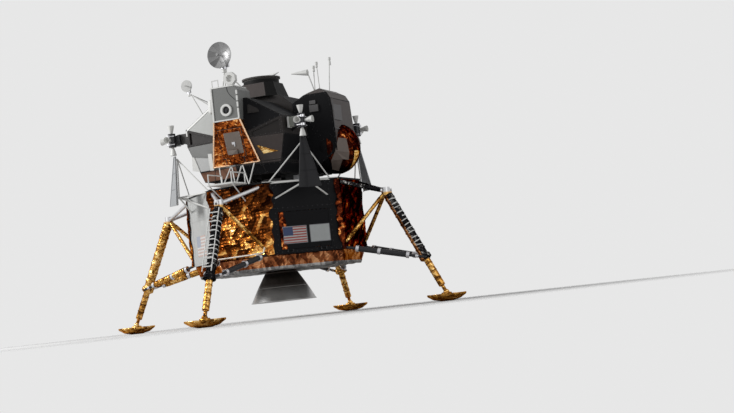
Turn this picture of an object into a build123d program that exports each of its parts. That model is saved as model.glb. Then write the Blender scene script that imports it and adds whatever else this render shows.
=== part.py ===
# Two-stage lunar lander, standing on its four legs.
# Millimetres. +Z is up, the origin is on the ground under the middle of the stages,
# -Y is forward (the hatch), +X is port, -X is starboard.

import os
from math import atan2, cos, sin, sqrt

from build123d import *

os.makedirs("parts", exist_ok=True)

seat_gap = 0.3          # between rigid pieces that seat on each other across a curve
pin_gap = 0.1           # round a pin in its bore
swing_gap = 8.0         # round a door or a moving bracket

UP = (Align.CENTER, Align.CENTER, Align.MIN)     # a shape that stands on its own origin


def turned(point, angle):
    """A point of what is laid out along +X, turned about the axis of the stages."""
    return Vector(*point).rotate(Axis.Z, angle)


def strut(start, end, radius, mode=Mode.ADD):
    """A round bar from start to end, in the piece being built."""
    start = Vector(*start)
    line = Vector(*end) - start
    with Locations(Plane(origin=start, z_dir=line)):
        Cylinder(radius, line.length, align=UP, mode=mode)


def along(start, end, share):
    """The point that lies a share of the way from start to end."""
    start = Vector(*start)
    return start + (Vector(*end) - start) * share


def finish(part, label):
    part.label = label
    export_step(part, f"parts/{label}.step")


# Box of the lower stage: an octagon with the engine's well and one equipment bay
stage_reach = 2057.0    # from the axis to the four leg faces
face_half = 686.0       # half the width of a leg face
stage_bottom = 1500.0
deck_top = 3230.0
deck_thick = 40.0
deck_lip = 25.0
panel_thick = 30.0
engine_well = 620.0
engine_well_top = 2650.0
panel_distance = (stage_reach + face_half) / sqrt(2)
panel_width = (stage_reach - face_half) * sqrt(2)
deck_bottom = deck_top - deck_thick

bay_half = 640.0
bay_bottom = 1600.0
bay_height = 900.0
bay_depth = 520.0
bay_plane = Plane(origin=(panel_distance * sqrt(0.5), -panel_distance * sqrt(0.5), 0),
                  x_dir=(1, 1, 0), z_dir=(1, -1, 0))

gimbal_height = 1750.0
gimbal_ring_radius = 330.0
gimbal_ring_section = 60.0
trunnion_radius = 25.0
bearing_radius = 70.0
bearing_depth = 100.0
ring_inner = gimbal_ring_radius - gimbal_ring_section / 2
ring_outer = gimbal_ring_radius + gimbal_ring_section / 2
bearing_face = ring_outer + swing_gap

with BuildPart() as descent_body:
    with BuildSketch(Plane.XY.offset(stage_bottom)):
        Rectangle(2 * stage_reach, 2 * stage_reach)
        core = 2 * (panel_distance - panel_thick)
        Rectangle(core, core, rotation=45, mode=Mode.INTERSECT)
    extrude(amount=deck_bottom - stage_bottom)
    with BuildSketch(Plane.XY.offset(stage_bottom)):
        Circle(engine_well)
    extrude(amount=engine_well_top - stage_bottom, mode=Mode.SUBTRACT)
    with BuildSketch(bay_plane.offset(-panel_thick)):
        with Locations((0, bay_bottom + bay_height / 2)):
            Rectangle(2 * bay_half, bay_height)
    extrude(amount=-bay_depth, mode=Mode.SUBTRACT)
    for side in (-1, 1):
        face = Vector(side * bearing_face, 0, gimbal_height)
        inwards = Vector(side, 0, 0)
        strut(face, Vector(side * (engine_well + 20), 0, gimbal_height), bearing_radius)
        strut(face, face + inwards * bearing_depth, trunnion_radius + pin_gap,
              mode=Mode.SUBTRACT)
finish(descent_body.part, "descent_body")

with BuildPart() as descent_deck:
    with BuildSketch(Plane.XY.offset(deck_bottom)):
        edge = 2 * (stage_reach + deck_lip)
        corner_edge = 2 * (panel_distance + deck_lip)
        Rectangle(edge, edge)
        Rectangle(corner_edge, corner_edge, rotation=45, mode=Mode.INTERSECT)
    extrude(amount=deck_thick)
finish(descent_deck.part, "descent_deck")

# Flat panels on the four quadrants, the port-front one open at the equipment bay
quadrant_angles = [45, 135, 225, 315]
stiffener = 26.0
stiffener_rows = 5
with BuildPart() as quadrant_panels:
    height = deck_bottom - stage_bottom
    width = panel_width - 2 * panel_thick
    for angle in quadrant_angles:
        normal = turned((1, 0, 0), angle)
        face = Plane(origin=normal * (panel_distance - panel_thick), z_dir=normal,
                     x_dir=turned((0, 1, 0), angle))
        with BuildSketch(face):
            with Locations((0, stage_bottom + height / 2)):
                Rectangle(width, height)
        extrude(amount=panel_thick)
    with BuildSketch(bay_plane):
        with Locations((0, bay_bottom + bay_height / 2)):
            Rectangle(2 * bay_half, bay_height)
    extrude(amount=-panel_thick, mode=Mode.SUBTRACT)
finish(quadrant_panels.part, "quadrant_panels")

# Shallow tray of the heat shield under the box, open round the engine
skirt_bottom = 1170.0
skirt_taper = 150.0     # how far the tray's sides lean in at the bottom
skirt_step = 40.0       # in from the box at the top
shield_hole = 590.0
with BuildPart() as base_shield:
    # height of the outline and how far it is in from the box
    for height, inset in ((stage_bottom, skirt_step), (skirt_bottom, skirt_taper)):
        with BuildSketch(Plane.XY.offset(height)):
            Rectangle(2 * (stage_reach - inset), 2 * (stage_reach - inset))
            Rectangle(2 * (panel_distance - inset), 2 * (panel_distance - inset),
                      rotation=45, mode=Mode.INTERSECT)
    loft()
    with BuildSketch(Plane.XY.offset(skirt_bottom)):
        Circle(shield_hole)
    extrude(amount=stage_bottom - skirt_bottom, mode=Mode.SUBTRACT)
finish(base_shield.part, "base_shield")

# Equipment door: folds down about its lower edge with the tools it carries
hinge_barrel = 16.0
hinge_pin = 9.0
hinge_length = 120.0
hinge_places = (-420.0, 420.0)
hinge_ear = 14.0
hinge_clear = 6.0       # between the barrel and the panel's face
leaf_thick = 10.0
leaf_height = 80.0
door_low = bay_bottom + swing_gap
door_high = bay_bottom + bay_height - swing_gap
hinge_height = bay_bottom - hinge_barrel
bay_along = Vector(bay_plane.x_dir)


def bay_hinge(place):
    """Middle of a hinge of the equipment door."""
    return bay_plane.from_local_coords((place, hinge_height, hinge_barrel + hinge_clear))


with BuildPart() as equipment_door:
    with BuildSketch(bay_plane):
        with Locations((0, (door_low + door_high) / 2)):
            Rectangle(2 * (bay_half - swing_gap), door_high - door_low)
    extrude(amount=-panel_thick)
    for place in hinge_places:
        with BuildSketch(bay_plane) as leaf:
            with Locations((place, door_low + leaf_height / 2)):
                Rectangle(hinge_length, leaf_height)
        extrude(leaf.sketch, amount=hinge_clear + leaf_thick)
        with BuildSketch(bay_plane.offset(hinge_clear)) as tongue:
            with Locations((place, (hinge_height + door_low) / 2 + 1)):
                Rectangle(hinge_length, door_low - hinge_height + 2)
        extrude(tongue.sketch, amount=leaf_thick)
        half = bay_along * (hinge_length / 2)
        middle = bay_hinge(place)
        strut(middle - half, middle + half, hinge_barrel)
        strut(middle - half, middle + half, hinge_pin + pin_gap, mode=Mode.SUBTRACT)
finish(equipment_door.part, "equipment_door")

# tools on the inner face of the door: middle and width along it, lower and upper
# edge above the bay's floor, depth
tool_boxes = [
    (-330, 420, 120, 520, 300),
    (150, 420, 120, 640, 260),
    (-330, 420, 560, 760, 160),
    (480, 180, 120, 700, 200),
]
with BuildPart() as equipment_pallet:
    for middle, width, low, high, depth in tool_boxes:
        with BuildSketch(bay_plane.offset(-panel_thick)) as box:
            with Locations((middle, bay_bottom + (low + high) / 2)):
                RectangleRounded(width, high - low, 18)
        extrude(box.sketch, amount=-depth)
finish(equipment_pallet.part, "equipment_pallet")

with BuildPart() as bay_hinge_pins:
    ear_place = hinge_length / 2 + 1 + hinge_ear / 2
    for place in hinge_places:
        middle = bay_hinge(place)
        reach = bay_along * (ear_place + hinge_ear / 2)
        strut(middle - reach, middle + reach, hinge_pin)
        for side in (-1, 1):
            with BuildSketch(bay_plane) as ear:
                with Locations((place + side * ear_place, hinge_height - hinge_barrel)):
                    Rectangle(hinge_ear, 4 * hinge_barrel)
            extrude(ear.sketch, amount=2 * hinge_barrel + hinge_clear)
finish(bay_hinge_pins.part, "bay_hinge_pins")

# Two blank plates low on the door: middle, width and height, and height above the floor
plate_thick = 3.0
plate_places = [(-262, 600, 400), (372, 500, 400)]
plate_height = 1935.0
with BuildPart() as plates:
    for middle, width, height in plate_places:
        with BuildSketch(bay_plane) as plate:
            with Locations((middle, plate_height)):
                Rectangle(width, height)
        extrude(plate.sketch, amount=plate_thick)
finish(plates.part, "plates")

# Descent engine: gimbal ring, combustion chamber as a plain block, open bell
with BuildPart() as engine_gimbal_ring:
    with BuildSketch(Plane.XY.offset(gimbal_height - gimbal_ring_section / 2)):
        Circle(ring_outer)
        Circle(ring_inner, mode=Mode.SUBTRACT)
    extrude(amount=gimbal_ring_section)
    for side in (-1, 1):
        start = Vector(side * (ring_outer - 10), 0, gimbal_height)
        strut(start, Vector(side * (bearing_face + bearing_depth - 5), 0, gimbal_height),
              trunnion_radius)
        strut((0, side * (ring_inner - 5), gimbal_height),
              (0, side * (ring_outer + 5), gimbal_height),
              trunnion_radius + pin_gap, mode=Mode.SUBTRACT)
finish(engine_gimbal_ring.part, "engine_gimbal_ring")

chamber_radius = 215.0
chamber_top = 2450.0
chamber_dome = 70.0
bell_top = 1470.0
bell_waist_height = 1560.0
bell_throat_radius = 170.0
bell_middle_height = 1000.0
bell_middle_radius = 485.0
bell_exit_height = 420.0
bell_exit_radius = 805.0
bell_wall = 14.0
bell_band = 10.0        # stiffening rings proud of the bell
with BuildPart() as engine_chamber:
    with BuildSketch(Plane.XZ):
        with BuildLine():
            Polyline((0, chamber_top), (chamber_radius - chamber_dome, chamber_top),
                     (chamber_radius, chamber_top - chamber_dome),
                     (chamber_radius, bell_waist_height), (bell_throat_radius + 10, bell_top),
                     (0, bell_top), close=True)
        make_face()
    revolve(axis=Axis.Z)
    for side in (-1, 1):
        strut((0, side * (chamber_radius - 20), gimbal_height),
              (0, side * (ring_outer - 4), gimbal_height), trunnion_radius)
finish(engine_chamber.part, "engine_chamber")

with BuildPart() as descent_engine_bell:
    with BuildSketch(Plane.XZ):
        with BuildLine():
            outside = ThreePointArc((bell_throat_radius, bell_top),
                                    (bell_middle_radius, bell_middle_height),
                                    (bell_exit_radius, bell_exit_height))
            inside = ThreePointArc((bell_throat_radius - bell_wall, bell_top),
                                   (bell_middle_radius - bell_wall, bell_middle_height),
                                   (bell_exit_radius - bell_wall, bell_exit_height))
            Line(outside @ 1, inside @ 1)
            Line(outside @ 0, inside @ 0)
        make_face()
    revolve(axis=Axis.Z)
    with BuildSketch(Plane.XZ):
        with Locations((bell_exit_radius - bell_wall / 2, bell_exit_height + bell_band)):
            Rectangle(bell_wall + bell_band, 2 * bell_band)
    revolve(axis=Axis.Z)
finish(descent_engine_bell.part, "descent_engine_bell")

# Landing gear. The points of the leg that reaches along +X:
leg_angles = [-90, 0, 90, 180]      # front, port, rear, starboard
apex_reach = 2985.0
apex_height = 2783.0
pad_reach = 4240.0
pad_ball_height = 205.0
pad_ball_radius = 75.0
ankle_radius = 42.0
ankle_length = 190.0
upper_strut_radius = 112.0
lower_strut_radius = 80.0
strut_share = 0.68      # of the leg's length, where the sliding strut leaves the upper one
socket_depth = 330.0    # how far the upper strut is bored for the sliding one
knee_length = 110.0
knee_rim = 35.0
apex_block = 105.0
apex = Vector(apex_reach, 0, apex_height)
ball = Vector(pad_reach, 0, pad_ball_height)
leg_line = (ball - apex).normalized()
slide_end = along(apex, ball, strut_share)
knee = slide_end - leg_line * (knee_length / 2 + 25)

# bands on the upper strut: how far below the apex, and length
band_rim = 12.0
bands = [(190, 40), (430, 26), (670, 26), (910, 26), (1150, 26), (1390, 26), (1620, 40)]
with BuildPart() as leg_struts_upper:
    for angle in leg_angles:
        top = turned(apex, angle)
        end = turned(slide_end, angle)
        line = turned(leg_line, angle)
        strut(top + line * (apex_block + seat_gap), end, upper_strut_radius)
        for place, length in bands:
            strut(top + line * place, top + line * (place + length),
                  upper_strut_radius + band_rim)
        middle = turned(knee, angle)
        strut(middle - line * knee_length / 2, middle + line * knee_length / 2,
              upper_strut_radius + knee_rim)
        strut(end - line * socket_depth, end + line, lower_strut_radius + seat_gap,
              mode=Mode.SUBTRACT)
finish(leg_struts_upper.part, "leg_struts_upper")

with BuildPart() as leg_struts_lower:
    for angle in leg_angles:
        end = turned(slide_end, angle)
        foot = turned(ball, angle)
        line = turned(leg_line, angle)
        strut(end - line * (socket_depth - 5), foot - line * ankle_length, lower_strut_radius)
        strut(foot - line * (ankle_length + 1), foot, ankle_radius)
        with Locations(foot):
            Sphere(pad_ball_radius)
finish(leg_struts_lower.part, "leg_struts_lower")

pad_radius = 470.0
pad_sole_radius = 150.0
pad_rim_height = 150.0
pad_rim = 28.0
pad_floor = 70.0        # thickness of the dish over the sole
socket_wall = 45.0
with BuildPart() as one_pad:
    with BuildSketch(Plane.XZ):
        with BuildLine():
            Polyline((0, 0), (pad_sole_radius, 0), (0.7 * pad_radius, 0.3 * pad_rim_height),
                     (pad_radius - 10, pad_rim_height - 20), (pad_radius, pad_rim_height),
                     (pad_radius, pad_rim_height + pad_rim),
                     (pad_radius - 22, pad_rim_height + pad_rim),
                     (pad_radius - 30, pad_rim_height), (0.66 * pad_radius, pad_floor + 15),
                     (pad_ball_radius + socket_wall + 40, pad_floor),
                     (pad_ball_radius + socket_wall, pad_ball_height),
                     (0, pad_ball_height), close=True)
        make_face()
    revolve(axis=Axis.Z)
    with Locations((0, 0, pad_ball_height)):
        Sphere(pad_ball_radius + seat_gap, mode=Mode.SUBTRACT)
with BuildPart() as footpads:
    with PolarLocations(pad_reach, 4):
        add(one_pad.part)
finish(footpads.part, "footpads")

# Outriggers: from each leg's apex to the four corners of its face, with the
# bore that the launch adapter holds at the tip
deck_beam = 46.0
floor_brace = 40.0
beam_inset = 60.0       # in from the corner of the face
deck_beam_drop = 70.0
floor_brace_rise = 150.0
adapter_bore = 30.0
adapter_bore_depth = 90.0
adapter_lug = 110.0
adapter_reach = 35.0    # the lug's mouth beyond the apex block
with BuildPart() as outriggers:
    for angle in leg_angles:
        top = turned(apex, angle)
        out = turned((1, 0, 0), angle)
        with Locations(top):
            Cylinder(apex_block, 2 * apex_block - 20)
        with BuildSketch(Plane(origin=top + out * (apex_block / 2), z_dir=out)) as lug:
            Rectangle(adapter_lug, adapter_lug)
        extrude(lug.sketch, amount=apex_block / 2 + adapter_reach)
        for side in (-1, 1):
            # height of the foot on the stage, radius of the bar
            for height, radius in ((deck_bottom - deck_beam_drop, deck_beam),
                                   (stage_bottom + floor_brace_rise, floor_brace)):
                foot = (stage_reach - 20, side * (face_half - beam_inset), height)
                strut(top, turned(foot, angle), radius)
        mouth = top + out * (apex_block + adapter_reach)
        strut(mouth - out * adapter_bore_depth, mouth, adapter_bore, mode=Mode.SUBTRACT)
        line = turned(leg_line, angle)
        strut(top + line * apex_block, top + line * (apex_block + 300),
              upper_strut_radius + 20, mode=Mode.SUBTRACT)
    add(descent_body.part, mode=Mode.SUBTRACT)
finish(outriggers.part, "outriggers")

# Secondary struts: from the knee to the lower corners of the leg's face.
# share of the length where each part begins and ends, and its radius
damper = [(-0.02, 1, 32), (0.2, 0.84, 66), (0.18, 0.21, 76), (0.55, 0.58, 76),
          (0.83, 0.86, 76)]
damper_rise = 36.0      # the foot above the stage's lower edge
with BuildPart() as secondary_struts:
    for angle in leg_angles:
        for side in (-1, 1):
            start = turned((knee.X, side * (upper_strut_radius + knee_rim), knee.Z), angle)
            end = turned((stage_reach - 15, side * (face_half - beam_inset),
                          stage_bottom + damper_rise), angle)
            for low, high, radius in damper:
                strut(along(start, end, low), along(start, end, high), radius)
    add(leg_struts_upper.part, mode=Mode.SUBTRACT)
    add(descent_body.part, mode=Mode.SUBTRACT)
finish(secondary_struts.part, "secondary_struts")

# Plume deflectors: folded sheets beside the stage at its four diagonals
quad_height = 4570.0     # of the thruster clusters
deflector_high = quad_height - 390
deflector_low = deck_top - 230
deflector_low_radius = 2460.0
deflector_high_radius = 2400.0
deflector_thick = 14.0
# half width and how far the edges stand out from the fold, at the foot and the head
deflector_foot = (280.0, 120.0)
deflector_head = (60.0, 30.0)
with BuildPart() as plume_deflectors:
    for angle in quadrant_angles:
        across = turned((0, 1, 0), angle)
        out = turned((1, 0, 0), angle)
        foot = out * deflector_low_radius + Vector(0, 0, deflector_low)
        head = out * deflector_high_radius + Vector(0, 0, deflector_high)
        for side in (-1, 1):
            foot_edge = foot + across * (side * deflector_foot[0]) + out * deflector_foot[1]
            head_edge = head + across * (side * deflector_head[0]) + out * deflector_head[1]
            wing = Plane(foot, x_dir=foot_edge - foot,
                         z_dir=(foot_edge - foot).cross(head - foot))
            outline = [wing.to_local_coords(p) for p in (foot, foot_edge, head_edge, head)]
            with BuildSketch(wing) as sheet:
                with BuildLine():
                    Polyline(*[(p.X, p.Y) for p in outline], close=True)
                make_face()
            extrude(sheet.sketch, amount=-side * deflector_thick)
finish(plume_deflectors.part, "plume_deflectors")

truss_height = deck_top - 60
truss_head = deflector_high - 80
truss_seat = 40.0       # from a deflector's fold in to the middle of its bracket
truss_bar = 20.0
truss_stay = 16.0


def deflector_at(height):
    """Distance of a deflector's fold from the axis at a height."""
    share = (height - deflector_low) / (deflector_high - deflector_low)
    return deflector_low_radius + share * (deflector_high_radius - deflector_low_radius)


with BuildPart() as deflector_trusses:
    for angle in quadrant_angles:
        out = turned((1, 0, 0), angle)
        node = out * (deflector_at(truss_height) - truss_seat) + Vector(0, 0, truss_height)
        head = out * (deflector_at(truss_head) - truss_seat) + Vector(0, 0, truss_head)
        for side in (-1, 1):
            low = turned((panel_distance - 40, side * 0.36 * panel_width, deck_top - 420),
                         angle)
            high = turned((panel_distance - 40, side * 0.41 * panel_width, deck_top - 35),
                          angle)
            strut(node, low, truss_bar)
            strut(node, high, truss_bar)
            strut(head, high, truss_stay)
        strut(node, head, truss_stay)
        for place, radius in ((node, truss_bar + 8), (head, truss_stay + 8)):
            strut(place - out * truss_bar, place + out * (truss_seat - deflector_thick / 2),
                  radius)
    for piece in (descent_body, descent_deck, quadrant_panels, plume_deflectors):
        add(piece.part, mode=Mode.SUBTRACT)
finish(deflector_trusses.part, "deflector_trusses")

# Porch in front of the hatch, on the deck's front edge
porch_half = 330.0
porch_length = 760.0
porch_thick = 40.0
porch_ribs = 6
rail_height = 230.0
rail_radius = 15.0
with BuildPart() as porch:
    back = -(stage_reach + deck_lip)
    with BuildSketch(Plane.XY.offset(deck_top)):
        with Locations((0, back - porch_length / 2)):
            Rectangle(2 * porch_half, porch_length)
    extrude(amount=porch_thick / 2)
    for row in range(porch_ribs):
        place = back - porch_length * (row + 0.5) / porch_ribs
        with Locations((0, place, deck_top + porch_thick / 2)):
            Box(2 * porch_half, porch_length / porch_ribs / 2, porch_thick / 2, align=UP)
    for side in (-1, 1):
        x = side * (porch_half - 2 * rail_radius)
        top = deck_top + porch_thick + rail_height
        front = back - porch_length + 2 * rail_radius
        for y in (back - 2 * rail_radius, front):
            strut((x, y, deck_top), (x, y, top), rail_radius)
        strut((x, back - 2 * rail_radius, top), (x, front, top), rail_radius)
        strut((x, front, deck_top + 10), (side * 250, -stage_reach + 5, deck_top - 420),
              rail_radius)
    add(outriggers.part, mode=Mode.SUBTRACT)
    add(descent_body.part, mode=Mode.SUBTRACT)
    add(descent_deck.part, mode=Mode.SUBTRACT)
finish(porch.part, "porch")

# Ladder, as narrow as the strut that it stands in front of
ladder_half = 118.0
ladder_rail = 12.0
ladder_rung = 13.0
ladder_start = 190.0    # below the apex, along the leg
rung_step = 229.0
rung_count = 7
ladder_standoff = upper_strut_radius + 62
ladder_seats = (240.0, 1440.0)
with BuildPart() as ladder:
    line = turned(leg_line, leg_angles[0])
    forward = Vector(1, 0, 0).cross(line)
    if forward.Y > 0:
        forward = -forward
    first = turned(apex, leg_angles[0]) + line * ladder_start + forward * ladder_standoff
    last = first + line * (rung_step * rung_count)
    for side in (-1, 1):
        rail = Vector(side * ladder_half, 0, 0)
        strut(first + rail, last + rail, ladder_rail)
    for step in range(rung_count):
        rung = first + line * (rung_step * (step + 0.5))
        half = Vector(ladder_half, 0, 0)
        strut(rung - half, rung + half, ladder_rung)
    for place in ladder_seats:
        seat = first + line * place
        for side in (-1, 1):
            side_rail = Vector(side * ladder_half, 0, 0)
            strut(seat + side_rail,
                  seat + side_rail * 0.4 - forward * (ladder_standoff - upper_strut_radius + 15),
                  ladder_rail)
    add(leg_struts_upper.part, mode=Mode.SUBTRACT)
    add(outriggers.part, mode=Mode.SUBTRACT)
finish(ladder.part, "ladder")

# Landing radar under the rear of the stage
radar_drop = 105.0      # of the hinge below the skirt
radar_pivot = Vector(-700, stage_reach - 607, skirt_bottom - radar_drop)
radar_width = 520.0
radar_depth = 420.0
radar_thick = 70.0
radar_lug_half = 110.0
radar_lug = 30.0
radar_pin = 12.0
hanger_thick = 30.0
hanger_radius = 22.0
with BuildPart() as landing_radar:
    with Locations(radar_pivot - Vector(0, 0, radar_lug + radar_thick)):
        Box(radar_width, radar_depth, radar_thick, align=UP)
        with Locations((0, 0, radar_thick)):
            Box(2 * radar_lug_half, 2 * radar_lug, radar_lug, align=UP)
    half = Vector(radar_lug_half, 0, 0)
    strut(radar_pivot - half, radar_pivot + half, radar_lug)
    strut(radar_pivot - half, radar_pivot + half, radar_pin + pin_gap, mode=Mode.SUBTRACT)
finish(landing_radar.part, "landing_radar")

with BuildPart() as radar_hanger:
    reach = Vector(radar_lug_half + 5 + hanger_thick, 0, 0)
    strut(radar_pivot - reach, radar_pivot + reach, radar_pin)
    for side in (-1, 1):
        near = radar_pivot + Vector(side * (radar_lug_half + 5), 0, 0)
        far = near + Vector(side * hanger_thick, 0, 0)
        strut(near, far, hanger_radius)
        with Locations((near + far) / 2):
            Box(hanger_thick, 2 * hanger_radius, stage_bottom - radar_pivot.Z, align=UP)
    add(base_shield.part, mode=Mode.SUBTRACT)
finish(radar_hanger.part, "radar_hanger")

# Crew cabin: a faceted hull. The corners of its cross-section and its front:
ascent_bottom = 3450.0
cabin_half = 1290.0     # at the widest, between the shoulders and the flanks
cabin_wall = 60.0
cabin_rear = 420.0
cabin_front = 1985.0    # forward reach of the window faces, beside the hatch
corner_front = 1810.0   # forward reach at the outer corners
roof_front = 1840.0
floor_front = 1740.0
roof_half = 430.0
roof_height = 5300.0
floor_half = 1000.0
face_inner = 450.0      # where the window faces begin, from the middle
shoulder_height = 4760.0
flank_height = 4350.0
brow_height = 4480.0
chin_height = 4340.0


def hull_facets(side):
    """Three points of each slanting panel of the hull, on one side."""
    x = side * cabin_half
    brow = (side * face_inner, -cabin_front, brow_height)
    brow_corner = (x, -corner_front, shoulder_height)
    chin = (side * face_inner, -cabin_front, chin_height)
    chin_corner = (x, -corner_front, chin_height)
    return [
        (brow_corner, (x, 0, shoulder_height), (side * roof_half, 0, roof_height)),
        ((x, 0, flank_height), (x, -1000, flank_height),
         (side * floor_half, 0, ascent_bottom)),
        (brow, brow_corner, (side * roof_half, -roof_front, roof_height)),
        (brow, chin, chin_corner),
        (chin, chin_corner, (side * face_inner, -floor_front, ascent_bottom)),
    ]


def cabin_form(inset):
    """The hull's outline with each of its panels moved inwards by the inset."""
    heart = Vector(0, -(cabin_front + cabin_rear) / 2, (ascent_bottom + roof_height) / 2)
    with BuildPart() as form:
        with Locations(heart):
            Box(2 * (cabin_half - inset), cabin_front - cabin_rear - 2 * inset,
                roof_height - ascent_bottom - 2 * inset)
        for side in (-1, 1):
            for a, b, c in hull_facets(side):
                out = (Vector(*b) - Vector(*a)).cross(Vector(*c) - Vector(*a)).normalized()
                if out.dot(Vector(*a) - heart) < 0:
                    out = -out
                split(bisect_by=Plane(origin=Vector(*a) - out * inset, z_dir=out),
                      keep=Keep.BOTTOM)
    return form.part


cabin_outline = cabin_form(0)

# Hatch in the sloping face under the equipment tower
tower_half = 340.0
tower_front = 2150.0
tower_rear = 1450.0
tower_bottom = 4780.0
tower_rise = 280.0          # above the cabin's roof
tower_top = roof_height + tower_rise
housing_bottom = 3750.0
housing_half = 610.0
housing_setback = 280.0     # of the sloping face between its top and its bottom
hatch_half = 310.0
hatch_high = 350.0
hatch_thick = 40.0
hatch_height = 4250.0
hatch_rebate = 42.0         # how much wider the passage is behind the frame's lip
hatch_barrel = 14.0
hatch_pin = 7.0
hatch_lip = hatch_thick - hatch_barrel - 6
slope = atan2(housing_setback, tower_bottom - housing_bottom)
hatch_plane = Plane(origin=(0, (tower_bottom - hatch_height) * housing_setback
                            / (tower_bottom - housing_bottom) - tower_front, hatch_height),
                    x_dir=(1, 0, 0), z_dir=(0, -cos(slope), -sin(slope)))
passage_depth = 700.0
with BuildPart() as passage:
    with BuildSketch(hatch_plane.offset(hatch_lip)):
        Rectangle(2 * (hatch_half + swing_gap), 2 * (hatch_high + swing_gap))
    extrude(amount=-2.5 * hatch_lip)
    with BuildSketch(hatch_plane.offset(-hatch_lip)):
        Rectangle(2 * (hatch_half + hatch_rebate), 2 * (hatch_high + swing_gap))
    extrude(amount=-passage_depth)

# window corners: distance from the middle, height
window_corners = [(535, 4450), (1190, 4675), (1190, 4385), (535, 4365)]
with BuildPart() as window_openings:
    for side in (-1, 1):
        with BuildSketch(Plane.XZ.offset(cabin_front + cabin_wall)) as opening:
            with BuildLine():
                Polyline(*[(side * x, z) for x, z in window_corners], close=True)
            make_face()
        extrude(opening.sketch, amount=-(cabin_front - corner_front + 5 * cabin_wall))

with BuildPart() as crew_cabin:
    add(cabin_outline)
    add(cabin_form(cabin_wall), mode=Mode.SUBTRACT)
    add(passage.part, mode=Mode.SUBTRACT)
    add(window_openings.part, mode=Mode.SUBTRACT)
finish(crew_cabin.part, "crew_cabin")

pane_thick = 12.0
with BuildPart() as cabin_windows:
    add(cabin_form(cabin_wall - 2 * pane_thick))
    add(cabin_form(cabin_wall - pane_thick), mode=Mode.SUBTRACT)
    add(window_openings.part, mode=Mode.INTERSECT)
finish(cabin_windows.part, "cabin_windows")

with BuildPart() as front_housing:
    with BuildSketch(Plane.XZ.offset(tower_rear)):
        with BuildLine():
            Polyline((-tower_half, tower_bottom), (tower_half, tower_bottom),
                     (housing_half, housing_bottom), (-housing_half, housing_bottom),
                     close=True)
        make_face()
    extrude(amount=tower_front - tower_rear)
    split(bisect_by=hatch_plane, keep=Keep.BOTTOM)
    add(cabin_outline, mode=Mode.SUBTRACT)
    add(passage.part, mode=Mode.SUBTRACT)
finish(front_housing.part, "front_housing")

# Equipment tower over the hatch: a box with corner angles, a top slab and a round port
tower_chamfer = 90.0
corner_angle = 34.0
angle_proud = 8.0
slab_thick = 26.0
slab_lip = 14.0
port_height = tower_bottom + 250
port_offset = 20.0
port_ring_radius = 147.0
port_lens_radius = 88.0
port_depth = 70.0
port_ring_proud = 35.0
with BuildPart() as front_tower:
    with BuildSketch(Plane.XZ.offset(tower_rear)):
        with Locations((0, (tower_bottom + tower_top) / 2)):
            Rectangle(2 * tower_half, tower_top - tower_bottom)
    extrude(amount=tower_front - tower_rear)
    top_edges = front_tower.edges().filter_by(Axis.Y).group_by(Axis.Z)[-1]
    chamfer(top_edges.sort_by(Axis.X)[-1], tower_chamfer)
    for side in (-1, 1):
        post = tower_top - tower_bottom - (tower_chamfer if side > 0 else 0)
        with Locations((side * (tower_half - corner_angle / 2 + angle_proud),
                        -(tower_front - corner_angle / 2 + angle_proud), tower_bottom)):
            Box(corner_angle, corner_angle, post, align=UP)
    with BuildSketch(Plane.XZ.offset(tower_front)):
        with Locations((port_offset, port_height)):
            Circle(port_lens_radius + seat_gap)
    extrude(amount=-port_depth, mode=Mode.SUBTRACT)
    with BuildSketch(Plane.XY.offset(tower_top)):
        with Locations(((-tower_chamfer) / 2, -(tower_front + tower_rear) / 2)):
            Rectangle(2 * tower_half - tower_chamfer + slab_lip,
                      tower_front - tower_rear + 2 * slab_lip)
    extrude(amount=slab_thick)
    add(cabin_outline, mode=Mode.SUBTRACT)
finish(front_tower.part, "front_tower")

with BuildPart() as port_ring:
    with BuildSketch(Plane.XZ.offset(tower_front)):
        with Locations((port_offset, port_height)):
            Circle(port_ring_radius)
            Circle(port_lens_radius, mode=Mode.SUBTRACT)
    extrude(amount=port_ring_proud)
    chamfer(port_ring.edges().filter_by(GeomType.CIRCLE).group_by(Axis.Y)[0], 10)
finish(port_ring.part, "port_ring")

with BuildPart() as port_lens:
    with BuildSketch(Plane.XZ.offset(tower_front - port_depth)):
        with Locations((port_offset, port_height)):
            Circle(port_lens_radius)
    extrude(amount=0.7 * port_depth)
finish(port_lens.part, "port_lens")

# Forward hatch, hinged on its starboard edge, opening inwards
hatch_knuckle = 110.0
hatch_knuckle_places = (-230.0, 230.0)
hatch_hinge = -(hatch_half + hatch_pin + 4)
hatch_up = Vector(hatch_plane.y_dir)
cover_half = 215.0
cover_high = 262.0
cover_offset = 55.0
cover_thick = 14.0
knuckle_ear = 12.0


def knuckle(place):
    """Middle of a hinge of the hatch."""
    return hatch_plane.from_local_coords((hatch_hinge, place, -hatch_thick))


with BuildPart() as forward_hatch:
    with BuildSketch(hatch_plane):
        Rectangle(2 * hatch_half, 2 * hatch_high)
    extrude(amount=-hatch_thick)
    with BuildSketch(hatch_plane):
        with Locations((cover_offset, 0)):
            RectangleRounded(2 * cover_half, 2 * cover_high, 24)
    extrude(amount=cover_thick)
    for place in hatch_knuckle_places:
        half = hatch_up * (hatch_knuckle / 2)
        strut(knuckle(place) - half, knuckle(place) + half, hatch_barrel)
        strut(knuckle(place) - half, knuckle(place) + half, hatch_pin + pin_gap,
              mode=Mode.SUBTRACT)
finish(forward_hatch.part, "forward_hatch")

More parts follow.
